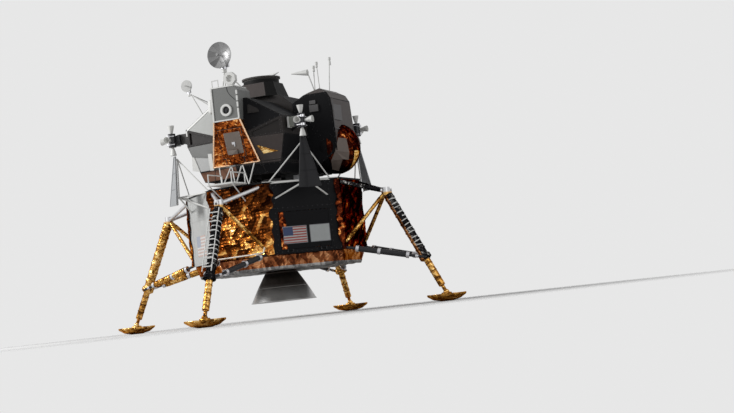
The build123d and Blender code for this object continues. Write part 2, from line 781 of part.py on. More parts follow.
with BuildPart() as hatch_hinge_pins:
    for place in hatch_knuckle_places:
        reach = hatch_up * (hatch_knuckle / 2 + 1 + knuckle_ear)
        strut(knuckle(place) - reach, knuckle(place) + reach, hatch_pin)
        for side in (-1, 1):
            start = knuckle(place) + hatch_up * (side * (hatch_knuckle / 2 + 1))
            with BuildSketch(Plane(origin=start, x_dir=(1, 0, 0),
                                   z_dir=hatch_up * side)) as ear:
                with Locations((-(hatch_rebate - hatch_pin) / 2, 0)):
                    Rectangle(hatch_rebate, 20)
            extrude(ear.sketch, amount=knuckle_ear)
    add(front_housing.part, mode=Mode.SUBTRACT)
    add(crew_cabin.part, mode=Mode.SUBTRACT)
finish(hatch_hinge_pins.part, "hatch_hinge_pins")

# Truss from the deck's front edge to the housing's lower edge: foot and head, in x
brace_radius = 15.0
brace_inset = 22.0      # of the heads behind the housing's lower edge
brace_ends = [(-350, -470), (-350, -140), (0, -140), (0, 140), (350, 140), (350, 470)]
with BuildPart() as front_braces:
    foot_y = -(stage_reach - 2 * brace_radius)
    head_y = -(tower_front - housing_setback - brace_inset)
    for foot_x, head_x in brace_ends:
        strut((foot_x, foot_y, deck_top - 5), (head_x, head_y, housing_bottom + 5),
              brace_radius)
    for piece in (descent_deck.part, front_housing.part, cabin_outline):
        add(piece, mode=Mode.SUBTRACT)
finish(front_braces.part, "front_braces")

# Midsection behind the cabin, with the ascent engine's well under it and the
# docking collar on top
mid_half = 980.0
mid_rear = 1000.0
mid_rise = 170.0        # of its roof above the cabin's
mid_chamfer = 290.0     # height of its slanted roof edges
mid_top = roof_height + mid_rise
mid_shoulder = mid_top - mid_chamfer
mid_roof_half = 620.0
ascent_well = 400.0
ascent_well_height = 850.0
with BuildPart() as midsection:
    with BuildSketch(Plane.XZ.offset(cabin_rear)):
        with BuildLine():
            Polyline((-mid_half, ascent_bottom), (mid_half, ascent_bottom),
                     (mid_half, mid_shoulder), (mid_roof_half, mid_top),
                     (-mid_roof_half, mid_top), (-mid_half, mid_shoulder), close=True)
        make_face()
    extrude(amount=-(mid_rear + cabin_rear))
    with Locations((0, 0, ascent_bottom)):
        Cylinder(ascent_well, ascent_well_height, align=UP, mode=Mode.SUBTRACT)
finish(midsection.part, "midsection")

engine_block_radius = 240.0
engine_block_rise = 30.0
with BuildPart() as ascent_engine:
    with Locations((0, 0, deck_top + engine_block_rise)):
        Cylinder(engine_block_radius,
                 ascent_bottom + ascent_well_height - deck_top - engine_block_rise, align=UP)
finish(ascent_engine.part, "ascent_engine")

docking_radius = 445.0
docking_bore = 406.0
docking_mouth = 418.0
mouth_depth = 60.0
docking_rise = 530.0    # of the ring's face above the midsection
docking_top = mid_top + docking_rise
docking_flange = 35.0
docking_flange_thick = 40.0
collar_drop = 160.0     # of the collar below the ring's face
collar_top = docking_top - collar_drop
collar_half = 560.0
collar_lean = 110.0
with BuildPart() as docking_ring:
    for height, half in ((mid_top, collar_half), (collar_top, collar_half - collar_lean)):
        with BuildSketch(Plane.XY.offset(height)):
            Rectangle(2 * half, 2 * half)
            Rectangle(2.3 * half, 2.3 * half, rotation=45, mode=Mode.INTERSECT)
    loft()
    with Locations((0, 0, collar_top)):
        Cylinder(docking_radius, docking_top - collar_top, align=UP)
    with Locations((0, 0, docking_top - docking_flange_thick)):
        Cylinder(docking_radius + docking_flange, docking_flange_thick, align=UP)
    with Locations((0, 0, mid_top)):
        Cylinder(docking_bore, docking_top - mid_top, align=UP, mode=Mode.SUBTRACT)
    with Locations((0, 0, docking_top - mouth_depth)):
        Cylinder(docking_mouth, mouth_depth, align=UP, mode=Mode.SUBTRACT)
finish(docking_ring.part, "docking_ring")

drogue_rim = docking_bore - seat_gap
drogue_depth = mouth_depth + 5      # of the drogue's rim below the top of the ring
drogue_wall = 25.0
drogue_hole = 60.0
with BuildPart() as docking_drogue:
    rim_top = docking_top - drogue_depth
    with BuildSketch(Plane.XZ):
        with BuildLine():
            Polyline((drogue_hole, mid_top), (drogue_hole + drogue_wall, mid_top),
                     (drogue_rim, rim_top - 40), (drogue_rim, rim_top),
                     (drogue_rim - drogue_wall, rim_top), (drogue_hole, mid_top + 50),
                     close=True)
        make_face()
    revolve(axis=Axis.Z)
finish(docking_drogue.part, "docking_drogue")

# Tank bays beside the midsection. The port one reaches further out.
bay_front = 450.0
bay_back = 780.0
tank_height = 4000.0
tank_y = 150.0
tank_radius = 620.0
# corners of the front face: distance from the middle and height
port_outline = [(mid_half, mid_shoulder), (1400, mid_shoulder + 220),
                (1650, mid_shoulder + 300), (1900, mid_shoulder + 160), (1990, mid_shoulder),
                (2030, 4420), (2030, 3900), (1300, ascent_bottom), (mid_half, ascent_bottom)]
starboard_outline = [(mid_half, mid_shoulder), (1300, mid_shoulder + 220),
                     (1540, mid_shoulder + 70), (1620, 4420), (1560, 3800),
                     (1250, ascent_bottom), (mid_half, ascent_bottom)]
port_tank_x = 1720.0
starboard_tank_x = 1150.0
roof_slope = 0.75       # rise of the slanted roof panel for each mm back
for label, side, outline, tank_x in (
        ("port_tank_bay", 1, port_outline, port_tank_x),
        ("starboard_tank_bay", -1, starboard_outline, starboard_tank_x)):
    front_top = sorted(z for x, z in outline)[-3]
    with BuildPart() as tank_bay:
        with BuildSketch(Plane.XZ.offset(bay_front)):
            with BuildLine():
                Polyline(*[(side * x, z) for x, z in outline], close=True)
            make_face()
        extrude(amount=-(bay_front + bay_back))
        with Locations((side * tank_x, tank_y, tank_height)):
            Sphere(tank_radius)
        split(bisect_by=Plane(origin=(0, -bay_front, front_top),
                              z_dir=(0, -roof_slope, 1)), keep=Keep.BOTTOM)
        add(cabin_outline, mode=Mode.SUBTRACT)
        add(midsection.part, mode=Mode.SUBTRACT)
        with Locations((0, 0, ascent_bottom - 2 * tank_radius)):
            Box(2 * mid_half, 4 * mid_half, 5 * tank_radius, align=UP, mode=Mode.SUBTRACT)
    finish(tank_bay.part, label)
    if side > 0:
        port_bay = tank_bay.part

aft_half = 1000.0
aft_reach = 780.0
aft_bottom = 3510.0
aft_top = 5300.0
aft_chamfer = 250.0
with BuildPart() as aft_equipment_bay:
    rear = mid_rear + aft_reach
    with BuildSketch(Plane.YZ.offset(-aft_half)):
        with BuildLine():
            Polyline((mid_rear, aft_bottom), (rear - aft_chamfer, aft_bottom),
                     (rear, aft_bottom + aft_chamfer), (rear, aft_top - aft_chamfer),
                     (rear - aft_chamfer, aft_top), (mid_rear, aft_top), close=True)
        make_face()
    extrude(amount=2 * aft_half)
    side_edges = aft_equipment_bay.edges().filter_by(Axis.Z).group_by(Axis.Y)[-1]
    chamfer(side_edges, 120)
finish(aft_equipment_bay.part, "aft_equipment_bay")

# Interstage fittings on the deck, under the midsection
fitting_size = 150.0
with BuildPart() as stage_fittings:
    for x in (-(mid_half - fitting_size), mid_half - fitting_size):
        for y in (-(cabin_rear - fitting_size), mid_rear - fitting_size):
            with Locations((x, y, deck_top)):
                Box(fitting_size, fitting_size, ascent_bottom - deck_top, align=UP)
finish(stage_fittings.part, "stage_fittings")

# Thruster clusters: a housing on two arms with four bells each
quad_place = 1730.0
housing_radius = 90.0
housing_height = 330.0
arm_radius = 32.0
arm_rise = 180.0
arm_drop = 260.0
nozzle_length = 205.0
nozzle_exit = 80.0
nozzle_throat = 26.0
nozzle_wall = 6.0
quad_corners = [(-1, -1), (1, -1), (-1, 1), (1, 1)]     # starboard or port, front or rear
with BuildPart() as rcs_quads:
    for sx, sy in quad_corners:
        centre = Vector(sx * quad_place, sy * quad_place, quad_height)
        with Locations(centre):
            Cylinder(housing_radius, housing_height)
            with Locations((-sx * 1.2 * housing_radius, -sy * 1.2 * housing_radius, 0)):
                Box(2 * housing_radius, 2 * housing_radius, 0.7 * housing_height)
        inner = Vector(sx * 0.9 * mid_half, sy * 0.9 * mid_half, quad_height)
        for rise in (arm_rise, -arm_drop):
            strut(centre, inner + Vector(0, 0, rise), arm_radius)
    for piece in (cabin_outline, midsection.part, aft_equipment_bay.part):
        add(piece, mode=Mode.SUBTRACT)
    with Locations((0, 0, ascent_bottom)):
        Box(2 * mid_half, 2 * mid_rear, roof_height - ascent_bottom, align=UP,
            mode=Mode.SUBTRACT)
finish(rcs_quads.part, "rcs_quads")

with BuildPart() as one_nozzle:
    with BuildSketch(Plane.XZ):
        with BuildLine():
            flare = ThreePointArc((nozzle_throat, 0), (0.62 * nozzle_exit, 0.35 * nozzle_length),
                                  (nozzle_exit, nozzle_length))
            inner_flare = ThreePointArc((nozzle_throat - nozzle_wall, 30),
                                        (0.62 * nozzle_exit - nozzle_wall,
                                         0.4 * nozzle_length),
                                        (nozzle_exit - nozzle_wall, nozzle_length))
            Line(flare @ 1, inner_flare @ 1)
            Polyline(flare @ 0, (0, 0), (0, 30), inner_flare @ 0)
        make_face()
    revolve(axis=Axis.Z)
with BuildPart() as rcs_nozzles:
    for sx, sy in quad_corners:
        centre = Vector(sx * quad_place, sy * quad_place, quad_height)
        # direction of the bell and where its throat starts
        for out, start in ((Vector(0, 0, 1), housing_height / 2),
                           (Vector(0, 0, -1), housing_height / 2),
                           (Vector(sx, 0, 0), housing_radius),
                           (Vector(0, sy, 0), housing_radius)):
            with Locations(Plane(origin=centre + out * (start - 5), z_dir=out)):
                add(one_nozzle.part)
    add(rcs_quads.part, mode=Mode.SUBTRACT)
finish(rcs_nozzles.part, "rcs_nozzles")

# Dish on top of the tower: pedestal, turning yoke, tilting dish
dish_radius = 315.0
dish_depth = 92.0
dish_y = -2000.0
dish_offset = 95.0      # of the dish's back in front of the tilting axis
pedestal_height = 424.0
yoke_height = 320.0     # from the pedestal's top to the tilting axis
yoke_radius = 70.0
yoke_arm = 120.0
yoke_plate = 24.0
yoke_depth = 70.0
spindle = 22.0
spindle_height = 60.0
tilt_pin = 14.0
leg_radius = 16.0
tower_roof = tower_top + slab_thick
yoke_base = tower_roof + pedestal_height
dish_height = yoke_base + yoke_height
with BuildPart() as radar_pedestal:
    for x, y in ((-230, tower_rear + 120), (210, tower_rear + 120), (-40, tower_front - 60)):
        strut((x, -y, tower_roof - 10), (0, dish_y, yoke_base - 40), leg_radius)
    strut((0, dish_y, yoke_base - 70), (0, dish_y, yoke_base), 0.85 * yoke_radius)
    strut((0, dish_y, yoke_base - 10), (0, dish_y, yoke_base + spindle_height), spindle)
    add(front_tower.part, mode=Mode.SUBTRACT)
finish(radar_pedestal.part, "radar_pedestal")

with BuildPart() as radar_yoke:
    floor = yoke_base + seat_gap
    with Locations((0, dish_y, floor)):
        Cylinder(yoke_radius, 80, align=UP)
        with Locations((0, 0, 40)):
            Box(2 * yoke_arm + yoke_plate, yoke_depth, 40, align=UP)
        for side in (-1, 1):
            with Locations((side * yoke_arm, 0, 40)):
                Box(yoke_plate, yoke_depth, dish_height - floor - 5, align=UP)
    strut((0, dish_y, yoke_base - 1), (0, dish_y, yoke_base + spindle_height + 1),
          spindle + pin_gap, mode=Mode.SUBTRACT)
    strut((-2 * yoke_arm, dish_y, dish_height), (2 * yoke_arm, dish_y, dish_height),
          tilt_pin + pin_gap, mode=Mode.SUBTRACT)
finish(radar_yoke.part, "radar_yoke")

feed_height = 200.0
feed_radius = 34.0
hub_half = 75.0
with BuildPart() as dish_shape:
    with BuildSketch(Plane.XZ):
        with BuildLine():
            back = ThreePointArc((0, 0), (0.55 * dish_radius, 0.28 * dish_depth),
                                 (dish_radius, dish_depth))
            front = ThreePointArc((0, 8), (0.55 * dish_radius, 0.28 * dish_depth + 8),
                                  (dish_radius - 4, dish_depth + 8))
            Line(back @ 1, front @ 1)
            Line(back @ 0, front @ 0)
        make_face()
    revolve(axis=Axis.Z)
    for turn in (30, 150, 270):
        start = turned((0.62 * dish_radius, 0, 0.34 * dish_depth), turn)
        strut(start, (0, 0, feed_height), 6)
    Cylinder(8, feed_height, align=UP)
    with Locations((0, 0, feed_height - 15)):
        Cylinder(feed_radius, 40, align=UP)
    with Locations((0, 0, -dish_offset)):
        Box(2 * hub_half, hub_half, dish_offset + 5, align=UP)
with BuildPart() as radar_dish:
    with Locations(Plane(origin=(0, dish_y - dish_offset, dish_height), x_dir=(1, 0, 0),
                         z_dir=(0, -1, 0))):
        add(dish_shape.part)
    half = yoke_arm + yoke_plate / 2 + 6
    strut((-half, dish_y, dish_height), (half, dish_y, dish_height), tilt_pin)
    with Locations((0, dish_y, dish_height)):
        Box(2 * hub_half + 10, hub_half, hub_half)
finish(radar_dish.part, "radar_dish")

# Side antenna on its boom at the starboard shoulder
antenna_lift = 375.0    # of its turning joint above the cabin's roof
antenna_pivot = Vector(-1210, -1600, roof_height + antenna_lift)
antenna_rise = 165.0
antenna_hub = antenna_pivot + Vector(0, 0, antenna_rise)
antenna_base = 30.0
antenna_arm = 50.0
antenna_plate = 12.0
antenna_depth = 36.0
antenna_spindle = 12.0
antenna_pin = 7.0
antenna_disc = 145.0
antenna_offset = 100.0  # of the disc's front from the tilting axis
boom_bar = 14.0
with BuildPart() as antenna_boom:
    joint = antenna_pivot + Vector(60, 0, -55)
    # place across the cabin's roof, and depth below the roof's top
    for x, y, depth in ((-470, -1600, 160), (-420, -1200, 150), (-820, -1600, 340)):
        strut((x, y, roof_height - depth), joint, boom_bar)
    strut(joint, antenna_pivot + Vector(0, 0, -55), antenna_base * 0.8)
    strut(antenna_pivot + Vector(0, 0, -80), antenna_pivot + Vector(0, 0, -30), antenna_base)
    strut(antenna_pivot + Vector(0, 0, -40), antenna_pivot + Vector(0, 0, 10),
          antenna_spindle)
    add(cabin_outline, mode=Mode.SUBTRACT)
finish(antenna_boom.part, "antenna_boom")

with BuildPart() as antenna_yoke:
    with Locations(antenna_pivot + Vector(0, 0, -30 + seat_gap)):
        Cylinder(antenna_base, 50, align=UP)
        with Locations((0, 0, 30)):
            Box(2 * antenna_arm + antenna_plate, antenna_depth, 20, align=UP)
            for side in (-1, 1):
                with Locations((side * antenna_arm, 0, 0)):
                    Box(antenna_plate, antenna_depth, antenna_rise + 20, align=UP)
    strut(antenna_pivot + Vector(0, 0, -41), antenna_pivot + Vector(0, 0, 12),
          antenna_spindle + pin_gap, mode=Mode.SUBTRACT)
    reach = Vector(2 * antenna_arm, 0, 0)
    strut(antenna_hub - reach, antenna_hub + reach, antenna_pin + pin_gap,
          mode=Mode.SUBTRACT)
finish(antenna_yoke.part, "antenna_yoke")

with BuildPart() as antenna_dish:
    reach = Vector(antenna_arm + antenna_plate / 2, 0, 0)
    strut(antenna_hub - reach, antenna_hub + reach, antenna_pin)
    with Locations(antenna_hub):
        Box(1.2 * antenna_arm, 40, 40)
    front = antenna_hub + Vector(0, -antenna_offset, 0)
    ahead = Vector(0, -1, 0)
    strut(antenna_hub, front - ahead * 5, 18)
    strut(front - ahead * 20, front, antenna_disc)
    strut(front, front + ahead * 95, 8)
    strut(front + ahead * 90, front + ahead * 105, 26)
finish(antenna_dish.part, "antenna_dish")

# Octagonal sensor head on the tower, beside the pedestal, and a small frame
head_half = 150.0
head_hole = 80.0
head_depth = 120.0
head_x = 165.0
head_foot = 20.0
with BuildPart() as sensor_head:
    middle = (head_x, tower_roof + head_half + head_foot - 4)
    with BuildSketch(Plane.XZ.offset(tower_front - 20)):
        with Locations(middle):
            RegularPolygon(head_half, 8, major_radius=False, rotation=22.5)
            RegularPolygon(head_hole, 8, major_radius=False, rotation=22.5,
                           mode=Mode.SUBTRACT)
    extrude(amount=-head_depth)
    with BuildSketch(Plane.XZ.offset(tower_front - 20 - head_depth / 2)):
        with Locations(middle):
            RegularPolygon(head_hole + 4, 8, major_radius=False, rotation=22.5)
    extrude(amount=-head_depth / 2)
    with Locations((head_x, -(tower_front - 20 - head_depth / 2), tower_roof)):
        Box(head_half, 0.8 * head_depth, head_foot, align=UP)
    for x in (-tower_half + 30, -tower_half + 190):
        strut((x, -tower_front + 40, tower_roof), (x, -tower_front + 40, tower_roof + 170), 12)
    strut((-tower_half + 18, -tower_front + 40, tower_roof + 170),
          (-tower_half + 202, -tower_front + 40, tower_roof + 170), 12)
finish(sensor_head.part, "sensor_head")

# Cone antennas and whips on top: foot on the roof, head of the mast, tip of the cone
cone_base = 78.0
cone_tip = 10.0
mast_radius = 15.0
whip_radius = 11.0
whip_tip = 34.0
mast_foot = mid_top - 100   # inside the port tank bay's roof
cones = [((-330, 850, mid_top - 40), (-250, 770, mid_top + 640), (230, 590, mid_top + 720)),
         ((1480, -100, mast_foot), (1340, -150, mid_top + 460), (900, -150, mid_top + 490))]
whips = [((1600, -100, mast_foot), (1620, -200, mid_top + 640)),
         ((1760, 100, mast_foot), (1830, 150, mid_top + 760)),
         ((1400, 50, mast_foot), (1450, 0, mid_top + 590))]
with BuildPart() as vhf_antennas:
    for foot, head, tip in cones:
        strut(foot, head, mast_radius)
        aim = Vector(*tip) - Vector(*head)
        with Locations(Plane(origin=head, z_dir=aim)):
            Cone(cone_base, cone_tip, aim.length, align=UP)
    for foot, head in whips:
        strut(foot, head, whip_radius)
        with Locations(head):
            Cylinder(whip_tip, 2 * whip_tip)
    add(midsection.part, mode=Mode.SUBTRACT)
    add(port_bay, mode=Mode.SUBTRACT)
finish(vhf_antennas.part, "vhf_antennas")
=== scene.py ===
import math
import random

import bmesh
import bpy
from mathutils import Matrix, Vector, noise


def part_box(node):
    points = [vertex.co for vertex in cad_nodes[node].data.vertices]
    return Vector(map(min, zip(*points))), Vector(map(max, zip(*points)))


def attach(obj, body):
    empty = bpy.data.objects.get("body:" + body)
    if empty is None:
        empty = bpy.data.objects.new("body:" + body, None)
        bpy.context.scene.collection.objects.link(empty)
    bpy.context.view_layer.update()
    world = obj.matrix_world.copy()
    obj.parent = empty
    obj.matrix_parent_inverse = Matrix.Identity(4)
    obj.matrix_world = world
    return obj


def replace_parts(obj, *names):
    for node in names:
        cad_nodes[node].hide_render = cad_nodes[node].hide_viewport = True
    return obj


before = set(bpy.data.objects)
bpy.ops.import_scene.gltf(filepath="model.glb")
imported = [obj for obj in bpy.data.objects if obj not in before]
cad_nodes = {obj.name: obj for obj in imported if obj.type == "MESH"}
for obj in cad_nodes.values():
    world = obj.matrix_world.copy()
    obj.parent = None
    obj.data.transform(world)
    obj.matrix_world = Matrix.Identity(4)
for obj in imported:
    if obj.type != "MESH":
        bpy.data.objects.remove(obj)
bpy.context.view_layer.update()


# View and studio. The lander is seen from a little to port of its front, from floor
# level and slightly up, with the camera rolled as it is in the photograph.
# A pale floor fades into a pale background, under one soft key lamp from starboard.
view_azimuth = math.radians(21.44)
view_rise = math.radians(-3.64)
view_roll = math.radians(-6.21)
view_distance = 37.53
view_lens = 73.97
aim_height = 3.3
aim_right = 2.291
aim_up = -0.767
backdrop_grey = 0.80
floor_grey = 0.80
floor_radius = 32.0
floor_fade = 5.5
floor_gone = 15.0         # from here out the floor is clear
sky_light = 0.40
key_power = 2200.0
key_place = Vector((-13.0, -9.5, 11.0))
key_size = 5.0
fill_power = 330.0
fill_size = 8.0
fill_place = Vector((15.0, -10.0, 7.0))

back = Vector((math.sin(view_azimuth) * math.cos(view_rise),
               -math.cos(view_azimuth) * math.cos(view_rise), math.sin(view_rise)))
right = Vector((math.cos(view_azimuth), math.sin(view_azimuth), 0))
up = back.cross(right)
aim = Vector((0, 0, aim_height)) + right * aim_right + up * aim_up
rolled_right = right * math.cos(view_roll) + up * math.sin(view_roll)
rolled_up = up * math.cos(view_roll) - right * math.sin(view_roll)
upward = Vector((0, 0, 1))


def placed(name, data):
    """A new object in the scene."""
    obj = bpy.data.objects.new(name, data)
    bpy.context.scene.collection.objects.link(obj)
    return obj


def axes(x, y, z):
    """The turn that lays the three axes along these directions."""
    return Matrix((x, y, z)).transposed().to_4x4()


def facing(way):
    """The turn that lays the Z axis along a direction."""
    return way.to_track_quat("Z", "Y").to_matrix().to_4x4()


camera_data = bpy.data.cameras.new("camera")
camera_data.lens = view_lens
camera_data.sensor_width = 36.0
camera_data.clip_start = 0.5
camera_data.clip_end = 400.0
camera = placed("camera", camera_data)
camera.matrix_world = Matrix.Translation(aim + back * view_distance) @ axes(
    rolled_right, rolled_up, back)
bpy.context.scene.camera = camera
bpy.context.scene.view_settings.view_transform = "Standard"


def lamp(name, place, power, size):
    """A square soft lamp that faces the middle of the lander."""
    data = bpy.data.lights.new(name, "AREA")
    data.energy = power
    data.size = size
    placed(name, data).matrix_world = Matrix.Translation(place) @ facing(
        place - upward * aim_height)


def new_finish(name):
    """A node material with its tree and its shader."""
    material = bpy.data.materials.new(name)
    material.use_nodes = True
    tree = material.node_tree
    return material, tree, tree.nodes["Principled BSDF"]


def node(tree, kind, **settings):
    """A node with its properties set, and its plain inputs by name or by number, as at_1."""
    made = tree.nodes.new("ShaderNode" + kind)
    for key, value in settings.items():
        if hasattr(made, key):
            setattr(made, key, value)
        elif key.startswith("at_"):
            made.inputs[int(key[3:])].default_value = value
        else:
            made.inputs[key.replace("_", " ")].default_value = value
    return made


def wire(tree, *chain):
    """Links each (node, output) to the next (node, input)."""
    for (a, out), (b, into) in zip(chain[::2], chain[1::2]):
        tree.links.new(a.outputs[out], b.inputs[into])


lamp("key_lamp", key_place, key_power, key_size)
lamp("fill_lamp", fill_place, fill_power, fill_size)

world = bpy.data.worlds.new("studio")
bpy.context.scene.world = world
world.use_nodes = True
sky = world.node_tree
seen = sky.nodes["Background"]
seen.inputs["Color"].default_value = (backdrop_grey, backdrop_grey, backdrop_grey, 1)
lit = node(sky, "Background", Strength=sky_light)
path = node(sky, "LightPath")
direct = node(sky, "Math", operation="MAXIMUM")
shown = node(sky, "Math", operation="MAXIMUM")
choose = node(sky, "MixShader")
wire(sky, (path, "Is Camera Ray"), (direct, 0), (path, "Is Glossy Ray"), (direct, 1),
     (direct, 0), (shown, 0), (path, "Is Transmission Ray"), (shown, 1), (shown, 0), (choose, 0),
     (lit, 0), (choose, 1), (seen, 0), (choose, 2),
     (choose, 0), (sky.nodes["World Output"], "Surface"))

floor_mesh = bmesh.new()
bmesh.ops.create_circle(floor_mesh, cap_ends=True, segments=96, radius=floor_radius)
bmesh.ops.translate(floor_mesh, verts=floor_mesh.verts, vec=(0, 0, -0.002))
floor_data = bpy.data.meshes.new("floor")
floor_mesh.to_mesh(floor_data)
floor = placed("floor", floor_data)
floor_finish, tree, shader = new_finish("pale_floor")
shader.inputs["Base Color"].default_value = (floor_grey, floor_grey, floor_grey, 1)
shader.inputs["Roughness"].default_value = 0.9
place = node(tree, "TexCoord")
reach = node(tree, "VectorMath", operation="LENGTH")
fade = node(tree, "MapRange", interpolation_type="SMOOTHSTEP", From_Min=floor_fade,
            From_Max=floor_gone)
clear = node(tree, "BsdfTransparent")
edge = node(tree, "MixShader")
wire(tree, (place, "Object"), (reach, 0), (reach, "Value"), (fade, "Value"),
     (fade, "Result"), (edge, 0), (shader, 0), (edge, 1), (clear, 0), (edge, 2),
     (edge, 0), (tree.nodes["Material Output"], "Surface"))
floor_data.materials.append(floor_finish)


# Film blankets of the lower stage. Each leg face is wrapped in crinkled metal-coated
# film: amber at the front, redder towards port. It is taped at the edges, wraps a
# little way round onto the flat panels, and stands off the box in hard creases.
noise.seed_set(11)        # the noise differs from run to run without a seed
wave_repeat = 0.314       # a wave texture of scale 1 repeats after this length


def crumple_waves(seed, count, longest, shortest):
    """Directions, lengths and phases of crossed folds, from long to short."""
    rng = random.Random(seed)
    waves = []
    for i in range(count):
        share = i / max(1, count - 1)
        length = longest * (shortest / longest) ** share
        direction = Vector((rng.uniform(-1, 1), rng.uniform(-1, 1), rng.uniform(-1, 1)))
        waves.append((direction.normalized(), length * rng.uniform(0.8, 1.25),
                      rng.random()))
    return waves


def fold(point, waves, facet_waves=4):
    """Height from 0 to 1 of crossed folds at a point, and a tone for its facet."""
    point = point + noise.noise_vector(point * 1.7) * 0.07
    total = 0.0
    weight = 0.0
    bend = 0.0
    facet = 7
    for rank, (direction, length, phase) in enumerate(waves):
        turn = point.dot(direction) / length + phase + bend
        height = abs(turn - math.floor(turn + 0.5)) * 2
        bend = 0.6 * height
        total += height * length
        weight += length
        if rank < facet_waves:
            facet = facet * 131 + math.floor(2 * turn)
    tone = ((facet * 2654435761) % 4294967296) / 4294967296
    return total / weight, tone


def crumple(mesh, depth, seed, longest=0.55, shortest=0.09, count=7, lift=0.0):
    """Pushes a fine mesh out along its normals into crossed folds, and keeps the tones."""
    waves = crumple_waves(seed, count, longest, shortest)
    tone = mesh.faces.layers.float.new("tone")
    for face in mesh.faces:
        face[tone] = fold(face.calc_center_median(), waves)[1]
    mesh.normal_update()
    moves = [(v, v.normal * (lift + depth * (fold(v.co, waves)[0] - 0.5) * 2))
             for v in mesh.verts]
    for v, move in moves:
        v.co += move


def add_waves(tree, coords, lengths, heights, seed, distortion=1.5):
    """Fine crossed folds for the shader: a height in metres from triangle waves."""
    rng = random.Random(seed)
    total = None
    for length, height in zip(lengths, heights):
        turn = node(tree, "Mapping",
                    Rotation=[rng.uniform(0, math.pi) for axis in range(3)])
        wave = node(tree, "TexWave", wave_profile="TRI", Scale=wave_repeat / length,
                    Distortion=distortion, Detail=1.0, Detail_Scale=1.5)
        step = node(tree, "Math", operation="MULTIPLY_ADD", at_1=height, at_2=0.0)
        wire(tree, (coords, "Object"), (turn, 0), (turn, 0), (wave, 0),
             (wave, 1), (step, 0))
        if total is not None:
            wire(tree, (total, 0), (step, 2))
        total = step
    return total


def film_finish(name, tones, seed, roughness=(0.14, 0.36), spots=0.11, own_tone=True,
                lengths=(0.07, 0.04, 0.022), heights=(0.006, 0.004, 0.002), clouds=0.5,
                painted_light_gain=0.0, middle=2.4, edge=(0.75, 0.42, 0.20)):
    """Crinkled metal-coated film. Each facet has a tone, from the mesh or from cells,
    clouded over larger patches. The gain adds painted light per metre below the middle and
    painted shade above it, so the film is lighter low down and darker at the top."""
    material, tree, shader = new_finish(name)
    coords = node(tree, "TexCoord")
    warp = node(tree, "TexNoise", Scale=5.0, Detail=3.0)
    spread = node(tree, "VectorMath", operation="MULTIPLY_ADD", at_1=(0.09, 0.09, 0.09))
    cells = node(tree, "TexVoronoi", Scale=1.0 / spots)
    cell = node(tree, "SeparateColor")
    ramp = node(tree, "ValToRGB")
    while len(ramp.color_ramp.elements) < len(tones):
        ramp.color_ramp.elements.new(0.5)
    for i, (place, colour) in enumerate(tones):
        ramp.color_ramp.elements[i].position = place
        ramp.color_ramp.elements[i].color = (*colour, 1)
    wire(tree, (coords, "Object"), (warp, 0), (warp, "Color"), (spread, 0),
         (coords, "Object"), (spread, 2), (spread, 0), (cells, "Vector"),
         (cells, "Color"), (cell, 0))
    if own_tone:
        facet = node(tree, "Attribute", attribute_name="tone")
        mixed = node(tree, "Math", operation="MULTIPLY_ADD", at_1=0.3)
        share = node(tree, "Math", operation="MULTIPLY", at_1=0.7)
        wire(tree, (facet, "Fac"), (share, 0), (cell, 0), (mixed, 0), (share, 0), (mixed, 2))
        own = mixed
    else:
        own = cell
    patches = node(tree, "TexNoise", Scale=2.3, Detail=2.0)
    patch = node(tree, "MapRange", From_Min=0.3, From_Max=0.7, To_Min=-0.5 * clouds,
                 To_Max=0.5 * clouds)
    height = node(tree, "SeparateXYZ")
    painted_light_by_height = node(tree, "Math", operation="MULTIPLY_ADD", at_1=-painted_light_gain,
                  at_2=painted_light_gain * middle)
    cloud = node(tree, "Math", operation="ADD")
    toned = node(tree, "Math", operation="ADD")
    wire(tree, (coords, "Object"), (patches, 0), (patches, 0), (patch, "Value"),
         (coords, "Object"), (height, 0), (height, "Z"), (painted_light_by_height, 0), (patch, 0), (cloud, 0),
         (painted_light_by_height, 0), (cloud, 1), (own, 0), (toned, 0), (cloud, 0), (toned, 1),
         (toned, 0), (ramp, 0))
    gloss = node(tree, "MapRange", To_Min=roughness[0], To_Max=roughness[1])
    bump = node(tree, "Bump", Strength=1.0, Distance=1.0)
    folds = add_waves(tree, coords, lengths, heights, seed)
    wire(tree, (ramp, 0), (shader, "Base Color"), (cell, 1), (gloss, "Value"),
         (gloss, 0), (shader, "Roughness"), (folds, 0), (bump, "Height"),
         (bump, 0), (shader, "Normal"))
    shader.inputs["Metallic"].default_value = 1.0
    shader.inputs["Specular Tint"].default_value = (*edge, 1)
    return material


# In every film's tones, the near-black end stands in for reflections of dark surroundings and
# the bright end for highlights: partly painted reflection, partly the film's own uneven colour.
amber_tones = [(0.0, (0.008, 0.002, 0.001)), (0.40, (0.045, 0.012, 0.003)),
               (0.66, (0.18, 0.047, 0.008)), (0.87, (0.52, 0.175, 0.027)),
               (1.0, (0.95, 0.52, 0.15))]
# the amber film is lighter low down and darker towards the deck: painted light and painted shade
# by height
amber_film = film_finish("amber_film", amber_tones, seed=3, painted_light_gain=0.33, middle=2.3)
loose_amber_film = film_finish("loose_amber_film", amber_tones, seed=4, own_tone=False,
                               spots=0.05)
# the dark and bright ends of these tones are partly painted reflection
red_tones = [(0.0, (0.006, 0.0015, 0.001)), (0.5, (0.028, 0.005, 0.003)),
             (0.76, (0.12, 0.020, 0.006)), (0.91, (0.38, 0.085, 0.018)),
             (1.0, (0.85, 0.36, 0.10))]
# the red film is also darker towards the deck and lighter low down: painted shade and painted
# light by height
red_film = film_finish("red_film", red_tones, seed=5, painted_light_gain=0.13, middle=2.3,
                       edge=(0.22, 0.06, 0.03))


